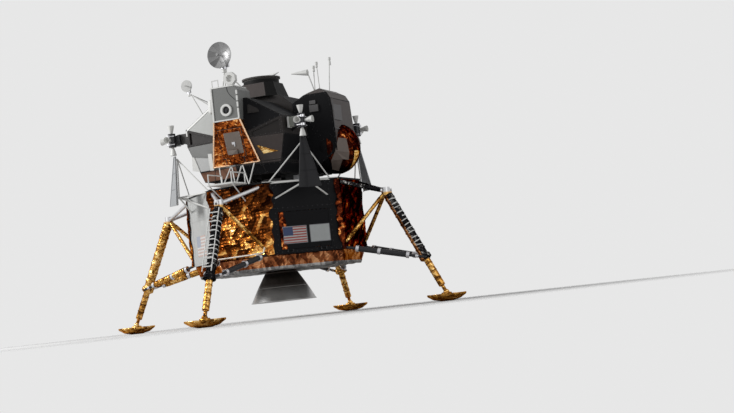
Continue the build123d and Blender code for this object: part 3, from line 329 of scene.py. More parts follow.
def piece(name, mesh, finish, body, slot, smooth=False, turn_out=True):
    """An object from a bmesh, with its finish and its body. The slot is not used."""
    if turn_out:
        bmesh.ops.recalc_face_normals(mesh, faces=mesh.faces)
    data = bpy.data.meshes.new(name)
    mesh.to_mesh(data)
    mesh.free()
    data.materials.append(finish)
    data.polygons.foreach_set("use_smooth", [smooth] * len(data.polygons))
    obj = placed(name, data)
    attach(obj, body)
    return obj


def dress(finish, *names):
    """Gives CAD nodes that keep their shape a finish."""
    for name in names:
        cad_nodes[name].data.materials.clear()
        cad_nodes[name].data.materials.append(finish)


leg_turns = {"front": -90, "port": 0, "rear": 90, "starboard": 180}
body_low, body_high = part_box("descent_body")
face_half = 0.686
face_reach = body_high.x
flap = 0.175            # how far the film wraps onto the panels beside it
bay_rise = 0.185        # from the blanket's middle to the top of the equipment bay
blanket_depth = 0.036
blanket_step = 0.0145
for seed, (side, turn) in enumerate(leg_turns.items()):
    wide = 2 * (face_half + flap)
    high = body_high.z - body_low.z - 0.02
    blanket = bmesh.new()
    bmesh.ops.create_grid(blanket, x_segments=round(wide / blanket_step),
                          y_segments=round(high / blanket_step), size=0.5)
    bmesh.ops.scale(blanket, verts=blanket.verts, vec=(wide, high, 1))
    for edge_side in (-1, 1):
        wrapped = [v for v in blanket.verts if edge_side * v.co.x > face_half]
        for v in wrapped:
            ragged = 0.70 + 0.9 * noise.noise(Vector((3.4 * v.co.y, 7.0 * seed, edge_side)))
            over = (edge_side * v.co.x - face_half) * min(1.0, max(0.3, ragged))
            if side == "front" and edge_side > 0:
                over *= 1.0 + 1.1 * min(1.0, max(0.0, 6 * (v.co.y - bay_rise)))
            v.co.x = edge_side * (face_half + over)
        bmesh.ops.rotate(blanket, verts=wrapped, cent=(edge_side * face_half, 0, 0),
                         matrix=Matrix.Rotation(edge_side * math.radians(45), 3, "Y"))
    crumple(blanket, blanket_depth, seed=11 + seed, longest=0.62, shortest=0.085, count=7,
            lift=blanket_depth + 0.004)
    upright = (Matrix.Rotation(math.radians(turn), 4, "Z")
               @ Matrix.Translation((face_reach, 0, (body_low.z + body_high.z) / 2))
               @ Matrix.Rotation(math.radians(90), 4, "Z")
               @ Matrix.Rotation(math.radians(90), 4, "X"))
    bmesh.ops.transform(blanket, matrix=upright, verts=blanket.verts)
    piece(f"{side}_blanket", blanket, red_film if side == "port" else amber_film,
          "lander", "gold_foil", turn_out=False)
dress(loose_amber_film, "descent_body")


# Flat panels of the four quadrants: thin sheet on stiffeners, black to port and aft,
# pale grey on the starboard bow, with seams and rows of flush screws along the edges.
def painted(name, colour, roughness=0.5, metal=0.0, grain=0.0015, mottle=0.12, scale=6.0,
            gloss=0.5, second=None, way=(0, 0, 1), beyond=0.0, soft=0.002):
    """Paint or bare metal, faintly clouded, with an uneven surface.
    second is the colour of what lies beyond a distance along a way."""
    material, tree, shader = new_finish(name)
    coords = node(tree, "TexCoord")
    cloud = node(tree, "TexNoise", Scale=scale, Detail=6.0, Roughness=0.6)
    shade = node(tree, "MapRange", To_Min=1 - mottle, To_Max=1 + mottle)
    tint = node(tree, "VectorMath", operation="SCALE", at_0=colour)
    worn = node(tree, "MapRange", To_Min=roughness - 0.08, To_Max=roughness + 0.1)
    bump = node(tree, "Bump", Strength=0.6, Distance=grain)
    if second is not None:
        reach = node(tree, "VectorMath", operation="DOT_PRODUCT", at_1=way)
        past = node(tree, "MapRange", From_Min=beyond - soft, From_Max=beyond + soft)
        blend = node(tree, "Mix", data_type="RGBA", at_6=(*colour, 1), at_7=(*second, 1))
        wire(tree, (coords, "Object"), (reach, 0), (reach, "Value"), (past, "Value"),
             (past, "Result"), (blend, 0), (blend, 2), (tint, 0))
    wire(tree, (coords, "Object"), (cloud, 0), (cloud, 0), (shade, "Value"),
         (shade, 0), (tint, "Scale"), (tint, 0), (shader, "Base Color"),
         (cloud, 0), (worn, "Value"), (worn, 0), (shader, "Roughness"),
         (cloud, 0), (bump, "Height"), (bump, 0), (shader, "Normal"))
    shader.inputs["Metallic"].default_value = metal
    shader.inputs["Specular IOR Level"].default_value = gloss
    return material


def screws(mesh, start, end, step, out, radius=0.006):
    """A row of low heads from start to end, on a surface that faces out."""
    line = end - start
    count = max(1, round(line.length / step))
    for i in range(count + 1):
        at = start + line * (i / count) + out * (0.3 * radius)
        bmesh.ops.create_cone(mesh, cap_ends=True, segments=6, radius1=radius,
                              radius2=0.5 * radius, depth=0.6 * radius,
                              matrix=Matrix.Translation(at) @ facing(out))


def block(mesh, middle, size, turn=Matrix.Identity(4)):
    """A box from its middle, its three sizes and its turn."""
    bmesh.ops.create_cube(mesh, size=1.0, matrix=Matrix.Translation(middle) @ turn
                          @ Matrix.Diagonal((*size, 1)))


def strip(mesh, start, end, wide, out, thick=0.003):
    """A flat bar from start to end, on a surface that faces out."""
    line = end - start
    across = line.normalized().cross(out).normalized()
    block(mesh, (start + end) / 2 + out * (thick / 2), (line.length, wide, thick),
          axes(line.normalized(), across, out))


def outward(turn):
    """The way out at an angle round the lander, and the way across it."""
    out = Matrix.Rotation(math.radians(turn), 3, "Z") @ Vector((1, 0, 0))
    return out, upward.cross(out)


def on_panel(out, across, place, height, stand=0.0):
    """A point on a flat panel, or off it by stand: distance along it, and height."""
    return out * (panel_distance + stand) + across * place + upward * height


black_paint = painted("black_paint", (0.007, 0.007, 0.008), roughness=0.65, mottle=0.3,
                      gloss=0.10)
panel_paint = painted("panel_paint", (0.007, 0.007, 0.008), roughness=0.65, mottle=0.2,
                      gloss=0.12, second=(0.46, 0.465, 0.455), way=(-1, -1, 0), beyond=2.0,
                      grain=0.004, scale=3.0)
screw_metal = painted("screw_metal", (0.16, 0.16, 0.17), roughness=0.4, metal=0.8)
dress(panel_paint, "quadrant_panels")

panel_distance = (face_reach + face_half) / math.sqrt(2)
panel_half = (face_reach - face_half) / math.sqrt(2)
panel_low = body_low.z + 0.05
panel_high = body_high.z - 0.06
bay_half = 0.64
bay_low = 1.60
bay_high = 2.50
seam_place = bay_half + 0.06
seam_reach = panel_half - 0.06
row_reach = panel_half - 0.09     # of the level rows of screws
seams = bmesh.new()
heads = bmesh.new()
for turn in (-45, 45, 135, 225):
    out, across = outward(turn)
    for place in (-seam_place, seam_place):
        strip(seams, on_panel(out, across, place, panel_low),
              on_panel(out, across, place, panel_high), 0.034, out)
        screws(heads, on_panel(out, across, place, panel_low + 0.05),
               on_panel(out, across, place, panel_high - 0.05), 0.12, out, 0.008)
    for height in (panel_low, bay_high + 0.09, panel_high):
        strip(seams, on_panel(out, across, -seam_reach, height),
              on_panel(out, across, seam_reach, height), 0.03, out)
        screws(heads, on_panel(out, across, -row_reach, height),
               on_panel(out, across, row_reach, height), 0.13, out, 0.008)
piece("panel_seams", seams, panel_paint, "lander", "black_panel")
piece("panel_screws", heads, screw_metal, "lander", "dark_fitting")


# Blank plates on the flat panels: thin painted sheets, one striped red and white with a
# blue corner and one plain pale grey, both with a dark edge, and a faint striped one
# on the pale panel. The near two ride on the equipment door.
def striped(name, place, way, red, blue, white, stripes=13):
    """Level stripes on a plate, with a plain corner at its upper left."""
    middle, level, wide, high = place
    left = middle - wide / 2
    low = level - high / 2
    material, tree, shader = new_finish(name)
    coords = node(tree, "TexCoord")
    height = node(tree, "SeparateXYZ")
    along = node(tree, "VectorMath", operation="DOT_PRODUCT", at_1=way)
    row = node(tree, "MapRange", From_Min=low, From_Max=low + high, To_Max=stripes / 2)
    cut = node(tree, "Math", operation="FRACT")
    odd = node(tree, "Math", operation="LESS_THAN", at_1=0.5)
    stripe = node(tree, "Mix", data_type="RGBA", at_6=(*white, 1), at_7=(*red, 1))
    inside = node(tree, "Math", operation="LESS_THAN", at_1=left + 0.42 * wide)
    above = node(tree, "Math", operation="GREATER_THAN", at_1=low + 0.46 * high)
    both = node(tree, "Math", operation="MULTIPLY")
    corner = node(tree, "Mix", data_type="RGBA", at_7=(*blue, 1))
    dust = node(tree, "TexNoise", Scale=9.0, Detail=5.0)
    fade = node(tree, "MapRange", To_Min=0.82, To_Max=1.12)
    worn = node(tree, "VectorMath", operation="SCALE")
    wire(tree, (coords, "Object"), (height, 0), (coords, "Object"), (along, 0),
         (height, "Z"), (row, "Value"), (row, "Result"), (cut, 0), (cut, 0), (odd, 0),
         (odd, 0), (stripe, 0), (along, "Value"), (inside, 0), (height, "Z"), (above, 0),
         (inside, 0), (both, 0), (above, 0), (both, 1), (both, 0), (corner, 0),
         (stripe, 2), (corner, 6), (coords, "Object"), (dust, 0), (dust, 0), (fade, "Value"),
         (corner, 2), (worn, 0), (fade, 0), (worn, "Scale"), (worn, 0), (shader, "Base Color"))
    shader.inputs["Roughness"].default_value = 0.55
    return material


plate_grey = painted("plate_grey", (0.40, 0.42, 0.42), roughness=0.55, mottle=0.16)
dress(plate_grey, "plates")
bay_out = Vector((1, -1, 0)).normalized()
bay_along = Vector((1, 1, 0)).normalized()
plate_stand = 0.0045    # of the painted sheet's middle, the CAD plate's face is at 3 mm
frame_stand = 0.004
# middle along the door, height of the middle, width and height
striped_place = (-0.262, 1.935, 0.600, 0.400)
plain_place = (0.372, 1.935, 0.500, 0.400)
faint_place = (-0.09, 1.96, 0.70, 0.50)
frame_wide = 0.022
frame_bar = 0.012


def soften(mesh, offset, segments=2, rims=False):
    """Rounds the edges of a mesh, or only its rims, where faces meet at a sharp angle."""
    edges = [e for e in mesh.edges if not rims or e.calc_face_angle() > 1]
    bmesh.ops.bevel(mesh, geom=edges, offset=offset, affect="EDGES", segments=segments,
                    profile=0.5, material=-1)


def plate(name, place, out, along, stand, finish, body, trim=0.0):
    """A thin sheet with softly rounded edges, from its place on a panel."""
    middle, height, wide, high = place
    mesh = bmesh.new()
    block(mesh, on_panel(out, along, middle, height, stand), (wide - trim, high - trim, 0.004),
          axes(along, upward, out))
    soften(mesh, 0.0012)
    piece(name, mesh, finish, body, "plate_paint")


striped_paint = striped("striped_paint", striped_place, bay_along, (0.34, 0.045, 0.035),
                        (0.022, 0.045, 0.13), (0.50, 0.50, 0.49))
for name, place, finish in (("striped_plate", striped_place, striped_paint),
                            ("pale_plate", plain_place, plate_grey)):
    plate(name, place, bay_out, bay_along, plate_stand, finish, "bay_door", frame_wide)
plate_frames = bmesh.new()
for middle, height, wide, high in (striped_place, plain_place):
    for x, y, w, h in ((0, high / 2, wide, frame_bar), (0, -high / 2, wide, frame_bar),
                       (-wide / 2, 0, frame_bar, high), (wide / 2, 0, frame_bar, high)):
        block(plate_frames, on_panel(bay_out, bay_along, middle + x, height + y, frame_stand),
              (w, h, 0.007), axes(bay_along, upward, bay_out))
piece("plate_frames", plate_frames, screw_metal, "bay_door", "dark_fitting")


def drop(mesh, faces):
    """Deletes faces with what only they hold."""
    bmesh.ops.delete(mesh, geom=faces, context="FACES")


# red film taped down the door's edge, with a ragged side and cut out round the plate
door_film = bmesh.new()
door_hem = 0.012
door_low = bay_low + door_hem
door_high = bay_high - door_hem
door_left = -bay_half + door_hem
film_wide = 0.30
bmesh.ops.create_grid(door_film, x_segments=24, y_segments=64, size=0.5)
for v in door_film.verts:
    v.co.y = door_low + (v.co.y + 0.5) * (door_high - door_low)
    ragged = 0.55 + 0.8 * noise.noise(Vector((0.0, 3.1 * v.co.y, 4.0)))
    v.co.x = door_left + (v.co.x + 0.5) * film_wide * min(1.0, max(0.2, ragged))
under_plate = [f for f in door_film.faces
               if abs(f.calc_center_median().x - striped_place[0]) < striped_place[2] / 2
               and abs(f.calc_center_median().y - striped_place[1]) < striped_place[3] / 2]
drop(door_film, under_plate)
crumple(door_film, 0.007, seed=17, longest=0.3, shortest=0.06, count=6, lift=0.009)
bmesh.ops.transform(door_film, verts=door_film.verts, matrix=Matrix.Translation(
    bay_out * panel_distance) @ axes(bay_along, upward, bay_out))
piece("door_film", door_film, red_film, "bay_door", "copper_foil", turn_out=False)

pale_out = Vector((-1, -1, 0)).normalized()
pale_along = Vector((1, -1, 0)).normalized()
plate("faint_plate", faint_place, pale_out, pale_along, 0.002,
      striped("faint_stripes", faint_place, pale_along, (0.52, 0.40, 0.36),
              (0.34, 0.37, 0.43), (0.62, 0.62, 0.61)), "lander")


# Heat shield under the stage: a shallow tray wrapped in copper-coloured film, with
# broad facets that catch the floor's light, silver at its lower lip and underside, and a pale
# tube along its front edge.
def fine_copy(node_name, voxel):
    """A closed, evenly fine copy of a CAD node's surface, as a bmesh."""
    source = bmesh.new()
    source.from_mesh(cad_nodes[node_name].data)
    bmesh.ops.remove_doubles(source, verts=source.verts, dist=1e-5)
    data = bpy.data.meshes.new(node_name + "_fine")
    source.to_mesh(data)
    source.free()
    obj = placed(node_name + "_fine", data)
    even = obj.modifiers.new("even", "REMESH")
    even.mode = "VOXEL"
    even.voxel_size = voxel
    view = bpy.context.evaluated_depsgraph_get()
    result = bmesh.new()
    result.from_mesh(obj.evaluated_get(view).to_mesh())
    bpy.data.objects.remove(obj)
    bpy.data.meshes.remove(data)
    return result


# the dark and bright ends of the copper tones are partly painted reflection
copper_film = film_finish("copper_film", [(0.0, (0.035, 0.011, 0.006)),
                                          (0.35, (0.14, 0.040, 0.015)),
                                          (0.65, (0.38, 0.125, 0.045)),
                                          (1.0, (0.82, 0.42, 0.20))], seed=7)
# the dark and bright ends of the silver tones are partly painted reflection
silver_film = film_finish("silver_film", [(0.0, (0.10, 0.10, 0.10)), (0.4, (0.24, 0.235, 0.23)),
                                          (1.0, (0.62, 0.61, 0.59))], seed=8, spots=0.2,
                          roughness=(0.3, 0.5), edge=(0.6, 0.6, 0.6))
silver_below = 1.235    # the tray's lower lip and its underside are silver
for tint_name, finish in (("copper", copper_film), ("silver", silver_film)):
    skirt = fine_copy("base_shield", 0.026)
    drop(skirt, [f for f in skirt.faces if (tint_name == "silver") != (
        f.calc_center_median().z < silver_below)])
    crumple(skirt, 0.020, seed=21, longest=0.5, shortest=0.07, count=8)
    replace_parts(piece(f"{tint_name}_base_blanket", skirt, finish, "lander",
                      "copper_foil" if tint_name == "copper" else "grey_panel",
                      turn_out=False), "base_shield")


def tube(mesh, start, end, radius, segments=16, end_radius=None, lap=0.0):
    """A closed round bar from start to end, or past both by half of lap."""
    start = Vector(start)
    line = Vector(end) - start
    bmesh.ops.create_cone(mesh, cap_ends=True, segments=segments, radius1=radius,
                          radius2=radius if end_radius is None else end_radius,
                          depth=line.length + lap,
                          matrix=Matrix.Translation(start + line / 2) @ facing(line))


edge_tube = bmesh.new()
tube_places = [(-0.56, -2.20, 1.545), (0.33, -2.20, 1.560), (0.62, -2.20, 1.575),
               (0.665, -2.20, 1.69)]
for start, end in zip(tube_places, tube_places[1:]):
    tube(edge_tube, start, end, 0.018, segments=12, lap=0.012)
pale_metal = painted("pale_metal", (0.78, 0.74, 0.66), roughness=0.3, metal=0.8)
piece("lower_edge_tube", edge_tube, pale_metal, "lander", "bare_strut")


# Equipment bay: a black door that folds down, with bright hinge pins and the film-wrapped
# tools that it carries on its inner face, under two straps.
dress(black_paint, "equipment_door")
bare_metal = painted("bare_metal", (0.58, 0.58, 0.60), roughness=0.34, metal=1.0, scale=14.0)
dress(bare_metal, "bay_hinge_pins")
dress(loose_amber_film, "equipment_pallet")


# Descent engine: a machined ring and chamber, and a thin niobium bell, dark, with
# stiffening rings round it. The bell is lighter below its lower ring: painted light.
engine_metal = painted("engine_metal", (0.20, 0.19, 0.185), roughness=0.4, metal=1.0)
dress(engine_metal, "engine_gimbal_ring", "engine_chamber", "ascent_engine")
# pale grey below 0.72 m and dark grey above: the lighter lower part of the bell is painted light
bell_metal = painted("bell_metal", (0.40, 0.395, 0.39), roughness=0.34, metal=0.8, scale=2.5,
                     second=(0.082, 0.068, 0.060), beyond=0.72, soft=0.13)
dress(bell_metal, "descent_engine_bell")
bell_rings = bmesh.new()
# height and radius of the bell's outside there
for height, radius in ((1.12, 0.407), (0.76, 0.623)):
    bmesh.ops.create_circle(bell_rings, cap_ends=False, segments=96, radius=radius,
                            matrix=Matrix.Translation((0, 0, height)))
rings = bmesh.ops.extrude_edge_only(bell_rings, edges=bell_rings.edges[:])
raised = [v for v in rings["geom"] if isinstance(v, bmesh.types.BMVert)]
bmesh.ops.translate(bell_rings, verts=raised, vec=(0, 0, 0.016))
bmesh.ops.solidify(bell_rings, geom=bell_rings.faces[:], thickness=0.012)
piece("bell_rings", bell_rings, bell_metal, "engine", "nozzle_metal", smooth=False)


# Landing gear: a wrapped upper strut, a sliding lower one in gold film and a dished pad
# on a ball. The front and port upper struts are wrapped black and bound with pale
# tape, the other two gold.
apex = Vector((2.985, 0, 2.783))
ball = Vector((4.240, 0, 0.205))
upper_radius = 0.112
leg_line = (ball - apex).normalized()
slide_end = apex.lerp(ball, 0.68)
knee = slide_end - leg_line * 0.080
ground = 0.0


def on_leg(point, side):
    """A point of what is laid out along +X, turned to a leg."""
    return Matrix.Rotation(math.radians(leg_turns[side]), 3, "Z") @ Vector(point)


def leg_of(point):
    """The leg that a point lies nearest to."""
    return max(leg_turns, key=lambda side: on_leg((1, 0, 0), side).dot(point))


# the black film's brightest tone, a silver grey on a few facets, is a painted glint
black_film = film_finish("black_film", [(0.0, (0.004, 0.004, 0.005)),
                                        (0.72, (0.016, 0.015, 0.016)),
                                        (0.90, (0.10, 0.095, 0.09)),
                                        (1.0, (0.42, 0.41, 0.39))], seed=31,
                         roughness=(0.25, 0.45), spots=0.05, edge=(0.3, 0.3, 0.3))
# the dark and bright ends of the gold tones are partly painted reflection
gold_tones = [(0.0, (0.05, 0.018, 0.004)), (0.35, (0.26, 0.11, 0.02)),
              (0.7, (0.72, 0.38, 0.085)), (1.0, (1.0, 0.74, 0.34))]
gold_film = film_finish("gold_film", gold_tones, seed=33, spots=0.06,
                        lengths=(0.04, 0.022), heights=(0.003, 0.002))
pale_tape = painted("pale_tape", (0.62, 0.62, 0.60), roughness=0.4, metal=0.3, mottle=0.25,
                    scale=30.0)
# the dark and bright ends of the bronze tones are partly painted reflection
bronze_tones = [(0.0, (0.04, 0.012, 0.005)), (0.4, (0.20, 0.070, 0.022)),
                (0.75, (0.50, 0.21, 0.07)), (1.0, (0.9, 0.5, 0.22))]
bronze_film = film_finish("bronze_film", bronze_tones, seed=34, spots=0.05,
                          lengths=(0.04, 0.022), heights=(0.003, 0.002))


def wrap_tone(point):
    """Which wrap covers a point of the upper struts."""
    side = leg_of(point)
    if side != "port":
        return "black" if side == "front" else "gold"
    return "black" if (point - apex).dot(outboard) > -0.01 else "bronze"


outboard = Vector((-leg_line.z, 0, leg_line.x))
for tint_name, finish in (("black", black_film), ("gold", gold_film), ("bronze", bronze_film)):
    wrap = fine_copy("leg_struts_upper", 0.013)
    drop(wrap, [f for f in wrap.faces if wrap_tone(f.calc_center_median()) != tint_name])
    crumple(wrap, 0.005, seed=35, longest=0.16, shortest=0.04, count=6)
    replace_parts(piece(f"{tint_name}_strut_wraps", wrap, finish, "lander",
                      "banded_strut" if tint_name == "black" else "gold_foil",
                      turn_out=False), "leg_struts_upper")

lower_wraps = fine_copy("leg_struts_lower", 0.011)
crumple(lower_wraps, 0.004, seed=37, longest=0.14, shortest=0.035, count=6)
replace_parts(piece("lower_strut_wraps", lower_wraps, gold_film, "lander", "gold_foil"),
            "leg_struts_lower")

pads = fine_copy("footpads", 0.014)
crumple(pads, 0.006, seed=39, longest=0.22, shortest=0.05, count=7)
for v in pads.verts:
    v.co.z = max(v.co.z, ground)
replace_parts(piece("footpad_wraps", pads, gold_film, "lander", "gold_foil"), "footpads")

# how far below the apex the tape begins and ends, and its spacing
tape_first = 0.26
tape_last = 1.66
tape_step = 0.118
rng = random.Random(41)
tape = bmesh.new()
for side in ("front", "port"):
    for i in range(int((tape_last - tape_first) / tape_step) + 1):
        at = apex + leg_line * (tape_first + i * tape_step)
        lean = Vector((rng.uniform(-1, 1), rng.uniform(-1, 1), rng.uniform(-1, 1))) * 0.16
        half = (leg_line + lean).normalized() * rng.uniform(0.008, 0.013)
        tube(tape, on_leg(at - half, side), on_leg(at + half, side), upper_radius + 0.009,
             segments=28)
drop(tape, [f for f in tape.faces if noise.noise(f.calc_center_median() * 6.0) > 0.22
            or wrap_tone(f.calc_center_median()) == "bronze"])
piece("strut_tape", tape, pale_tape, "lander", "banded_strut")

straps = bmesh.new()
strap_half = leg_line * 0.011
for side in leg_turns:
    for share in (0.72, 0.79, 0.86):
        at = apex.lerp(ball, share)
        tube(straps, on_leg(at - strap_half, side), on_leg(at + strap_half, side), 0.087,
             segments=28)
piece("strut_straps", straps, gold_film, "lander", "gold_foil")


# Secondary struts: black dampers from the knee to the stage, with bright collars at
# their ends and middle.
dark_metal = painted("dark_metal", (0.035, 0.035, 0.038), roughness=0.42, metal=0.5, gloss=0.3)
dress(dark_metal, "secondary_struts", "bay_hinge_pins")


def damper_ends(hand, side):
    """Where a leg's damper begins at the knee and ends at the stage."""
    return (on_leg((knee.x, hand * (upper_radius + 0.035), knee.z), side),
            on_leg((face_reach - 0.015, hand * (face_half - 0.060), body_low.z + 0.036), side))


collars = bmesh.new()
for side in leg_turns:
    for hand in (-1, 1):
        start, end = damper_ends(hand, side)
        for low, high in ((0.06, 0.10), (0.175, 0.215), (0.545, 0.585), (0.825, 0.865)):
            tube(collars, start.lerp(end, low), start.lerp(end, high),
                 0.079 if low > 0.15 else 0.040, segments=24)
soften(collars, 0.005, rims=True)
piece("damper_collars", collars, bare_metal, "lander", "bare_strut")


def sleeve(mesh, start, end, radius, segments, cuts):
    """A round bar, cut into rings along its length so that it can crumple."""
    before = set(mesh.edges)
    tube(mesh, start, end, radius, segments=segments)
    long_edges = [e for e in mesh.edges if e not in before and e.calc_length() > 0.2]
    bmesh.ops.subdivide_edges(mesh, edges=long_edges, use_grid_fill=True, cuts=cuts)


damper_wraps = bmesh.new()
for hand in (-1, 1):
    start, end = damper_ends(hand, "starboard")
    for low, high in ((0.225, 0.535), (0.595, 0.815)):
        sleeve(damper_wraps, start.lerp(end, low), start.lerp(end, high), 0.082, 22, 24)
crumple(damper_wraps, 0.004, seed=49, longest=0.14, shortest=0.04, count=6)
piece("damper_wraps", damper_wraps, gold_film, "lander", "gold_foil", turn_out=False)


# Outriggers: bright beams from the leg's head to the deck, and braces down to the
# stage's floor in sleeves of gold film.
outrigger_metal = painted("outrigger_metal", (0.62, 0.36, 0.10), roughness=0.36, metal=0.9,
                          second=(0.64, 0.64, 0.65), beyond=2.76, soft=0.02, scale=14.0)
dress(outrigger_metal, "outriggers")
sleeves = bmesh.new()
port_sleeves = bmesh.new()
sleeve_step = 0.022
beam_height = 3.12      # where the outrigger's beams meet the deck
for hand in (-1, 1):
    head = Vector((face_reach, hand * (face_half - 0.06), beam_height))
    sleeve(port_sleeves, on_leg(apex.lerp(head, 0.12), "port"),
           on_leg(apex.lerp(head, 0.98), "port"), 0.054, 20, 44)
for side in leg_turns:
    for hand in (-1, 1):
        foot = Vector((face_reach, hand * (face_half - 0.06), body_low.z + 0.15))
        start = apex.lerp(foot, 0.13)
        end = apex.lerp(foot, 0.95)
        sleeve(sleeves, on_leg(start, side), on_leg(end, side), 0.046, 20,
               round((end - start).length / sleeve_step))
crumple(port_sleeves, 0.006, seed=44, longest=0.12, shortest=0.035, count=6)
piece("port_beam_sleeves", port_sleeves, black_film, "lander", "black_panel", turn_out=False)
crumple(sleeves, 0.006, seed=43, longest=0.12, shortest=0.035, count=6)
piece("brace_sleeves", sleeves, gold_film, "lander", "gold_foil", turn_out=False)


# Plume deflectors: folded sheets beside the stage, black at the port bow and pale
# elsewhere, with a rolled edge, on white tube trusses.
deflector_paint = painted("deflector_paint", (0.38, 0.39, 0.40), roughness=0.5,
                          second=(0.012, 0.012, 0.014), way=(1, -1, 0), beyond=2.2, gloss=0.3)
dress(deflector_paint, "plume_deflectors")
white_paint = painted("white_paint", (0.72, 0.72, 0.70), roughness=0.45, mottle=0.08)
dress(white_paint, "deflector_trusses")
deflector_low, deflector_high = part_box("plume_deflectors")
# how far out the fold of a sheet stands, and its two wings' reach sideways and outward
fold_low = 2.460
fold_high = 2.400
wing_low = (0.280, 0.120)
wing_high = (0.060, 0.030)
rolled = bmesh.new()
for turn in (45, 135, 225, 315):
    out, across = outward(turn)
    foot = out * fold_low + upward * deflector_low.z
    head = out * fold_high + upward * deflector_high.z
    for hand in (-1, 1):
        foot_edge = foot + across * (hand * wing_low[0]) + out * wing_low[1]
        head_edge = head + across * (hand * wing_high[0]) + out * wing_high[1]
        tube(rolled, foot_edge, head_edge, 0.009, segments=10)
        tube(rolled, foot, foot_edge, 0.009, segments=10)
        for share in (0.33, 0.66):
            tube(rolled, foot.lerp(head, share) + out * 0.006,
                 foot_edge.lerp(head_edge, share) + out * 0.006, 0.005, segments=8)
piece("deflector_edges", rolled, deflector_paint, "lander", "white_panel")


# Deck: a black closing panel over the lower stage, with a bright edging tube along
# the four slanting sides.
dress(black_paint, "descent_deck")
edging_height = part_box("descent_deck")[1].z - 0.008
edging = bmesh.new()
for turn in (-45, 45, 135, 225):
    out, across = outward(turn)
    tube(edging, on_panel(out, across, -panel_half, edging_height, 0.025),
         on_panel(out, across, panel_half, edging_height, 0.025), 0.010, segments=10)
piece("deck_edging", edging, white_paint, "lander", "bare_strut")


# Porch and ladder of white-painted tube and ribbed sheet, and the truss that carries the
# housing of the hatch above the deck's edge.
dress(white_paint, "porch", "ladder", "front_braces")


# Landing radar: a flat dark box of painted metal that tilts on a bright hanger, under the
# stage's floor behind the engine.
dress(dark_metal, "landing_radar")
dress(bare_metal, "radar_hanger")


# Crew cabin: a faceted shell under thin panels of chemically coloured sheet, white over
# the starboard brow, black to port, grey below, with screwed seams between them. The black
# and brown of the port faces, where the starboard ones are white, grey, rust and pale, is
# painted shade.
hull_heart = Vector((0, -1.2, 4.375))
bare_below = 4.36       # front faces behind the housing with a middle below this stay bare
hull_least = 0.6        # outer faces lie further than this from the hull's middle


def cut(mesh, place, way, clear=False):
    """Cuts a mesh along a plane, and clears what lies beyond it if asked."""
    bmesh.ops.bisect_plane(mesh, geom=mesh.verts[:] + mesh.edges[:] + mesh.faces[:],
                           plane_co=place, plane_no=way, clear_outer=clear)


def flat_copy(node_name, cuts=()):
    """A copy of a CAD node with its flat faces whole, cut along planes."""
    whole = bmesh.new()
    whole.from_mesh(cad_nodes[node_name].data)
    bmesh.ops.remove_doubles(whole, verts=whole.verts, dist=1e-5)
    bmesh.ops.dissolve_limit(whole, angle_limit=0.01, verts=whole.verts, edges=whole.edges)
    for place, way in cuts:
        cut(whole, place, way)
    whole.normal_update()
    return whole


def skin(node_name, choose, cuts=(), gap=0.010, rise=0.003, screw_step=0.13, least=0.004):
    """Thin panels over the flat faces of a CAD node, a bmesh for each name that choose
    gives a face, and the screws along their edges."""
    whole = flat_copy(node_name, cuts)
    names = [choose(f.calc_center_median(), f.normal) if f.calc_area() > least else None
             for f in whole.faces]
    heads = bmesh.new()
    skins = {}
    for name in sorted(set(names) - {None}):
        part = whole.copy()
        drop(part, [f for f, own in zip(part.faces[:], names) if own != name])
        bmesh.ops.split_edges(part, edges=[e for e in part.edges if not e.is_boundary])
        for face in part.faces[:]:
            middle = face.calc_center_median()
            reach = max((v.co - middle).length for v in face.verts)
            rim = bmesh.ops.inset_individual(part, faces=[face], thickness=gap,
                                             use_even_offset=True)
            drop(part, rim["faces"])
            if max((v.co - middle).length for v in face.verts) > reach:
                drop(part, [face])
                continue
            bmesh.ops.translate(part, verts=face.verts, vec=face.normal * rise)
            for loop in face.loops:
                start = loop.vert.co
                line = loop.link_loop_next.vert.co - start
                if line.length > 0.12:
                    inward = face.normal.cross(line.normalized()) * 0.02
                    trim = line.normalized() * 0.03
                    screws(heads, start + inward + trim, start + line + inward - trim,
                           screw_step, face.normal.copy(), 0.006)
        bmesh.ops.solidify(part, geom=part.faces[:], thickness=rise)
        skins[name] = part
    whole.free()
    return skins, heads


housing_top = Vector((0.340, -2.150, 4.780))
housing_foot = Vector((0.610, -1.870, 3.750))
chin_split = 3.70


def housing_side(height):
    """How far the housing of the hatch reaches to each side at a height."""
    if height < housing_foot.z:
        return 0.0
    share = (housing_top.z - height) / (housing_top.z - housing_foot.z)
    return housing_top.x + share * (housing_foot.x - housing_top.x)


def hull_panel(centre, normal):
    """Which panels of the cabin a face belongs to."""
    if (centre - hull_heart).dot(normal) < hull_least or normal.y > 0.9 or normal.z < -0.9:
        return None
    # faces to port are black and brown where starboard faces are white, grey, rust and pale:
    # painted shade on the side away from the light
    port = normal.x > 0.05
    if normal.y < -0.3 and centre.z < bare_below and abs(centre.x) < housing_side(centre.z):
        return None
    if normal.z > 0.95:
        return "black"
    if abs(normal.x) < 0.05:
        return "black"
    if normal.z > 0.1:
        return "black" if port else "white"
    if normal.z > -0.05:
        return "dark"
    if normal.y < -0.3:
        if centre.z < chin_split:
            return "black" if port else "rust"
        return "brown" if port else "grey"
    return "black" if port else "pale"


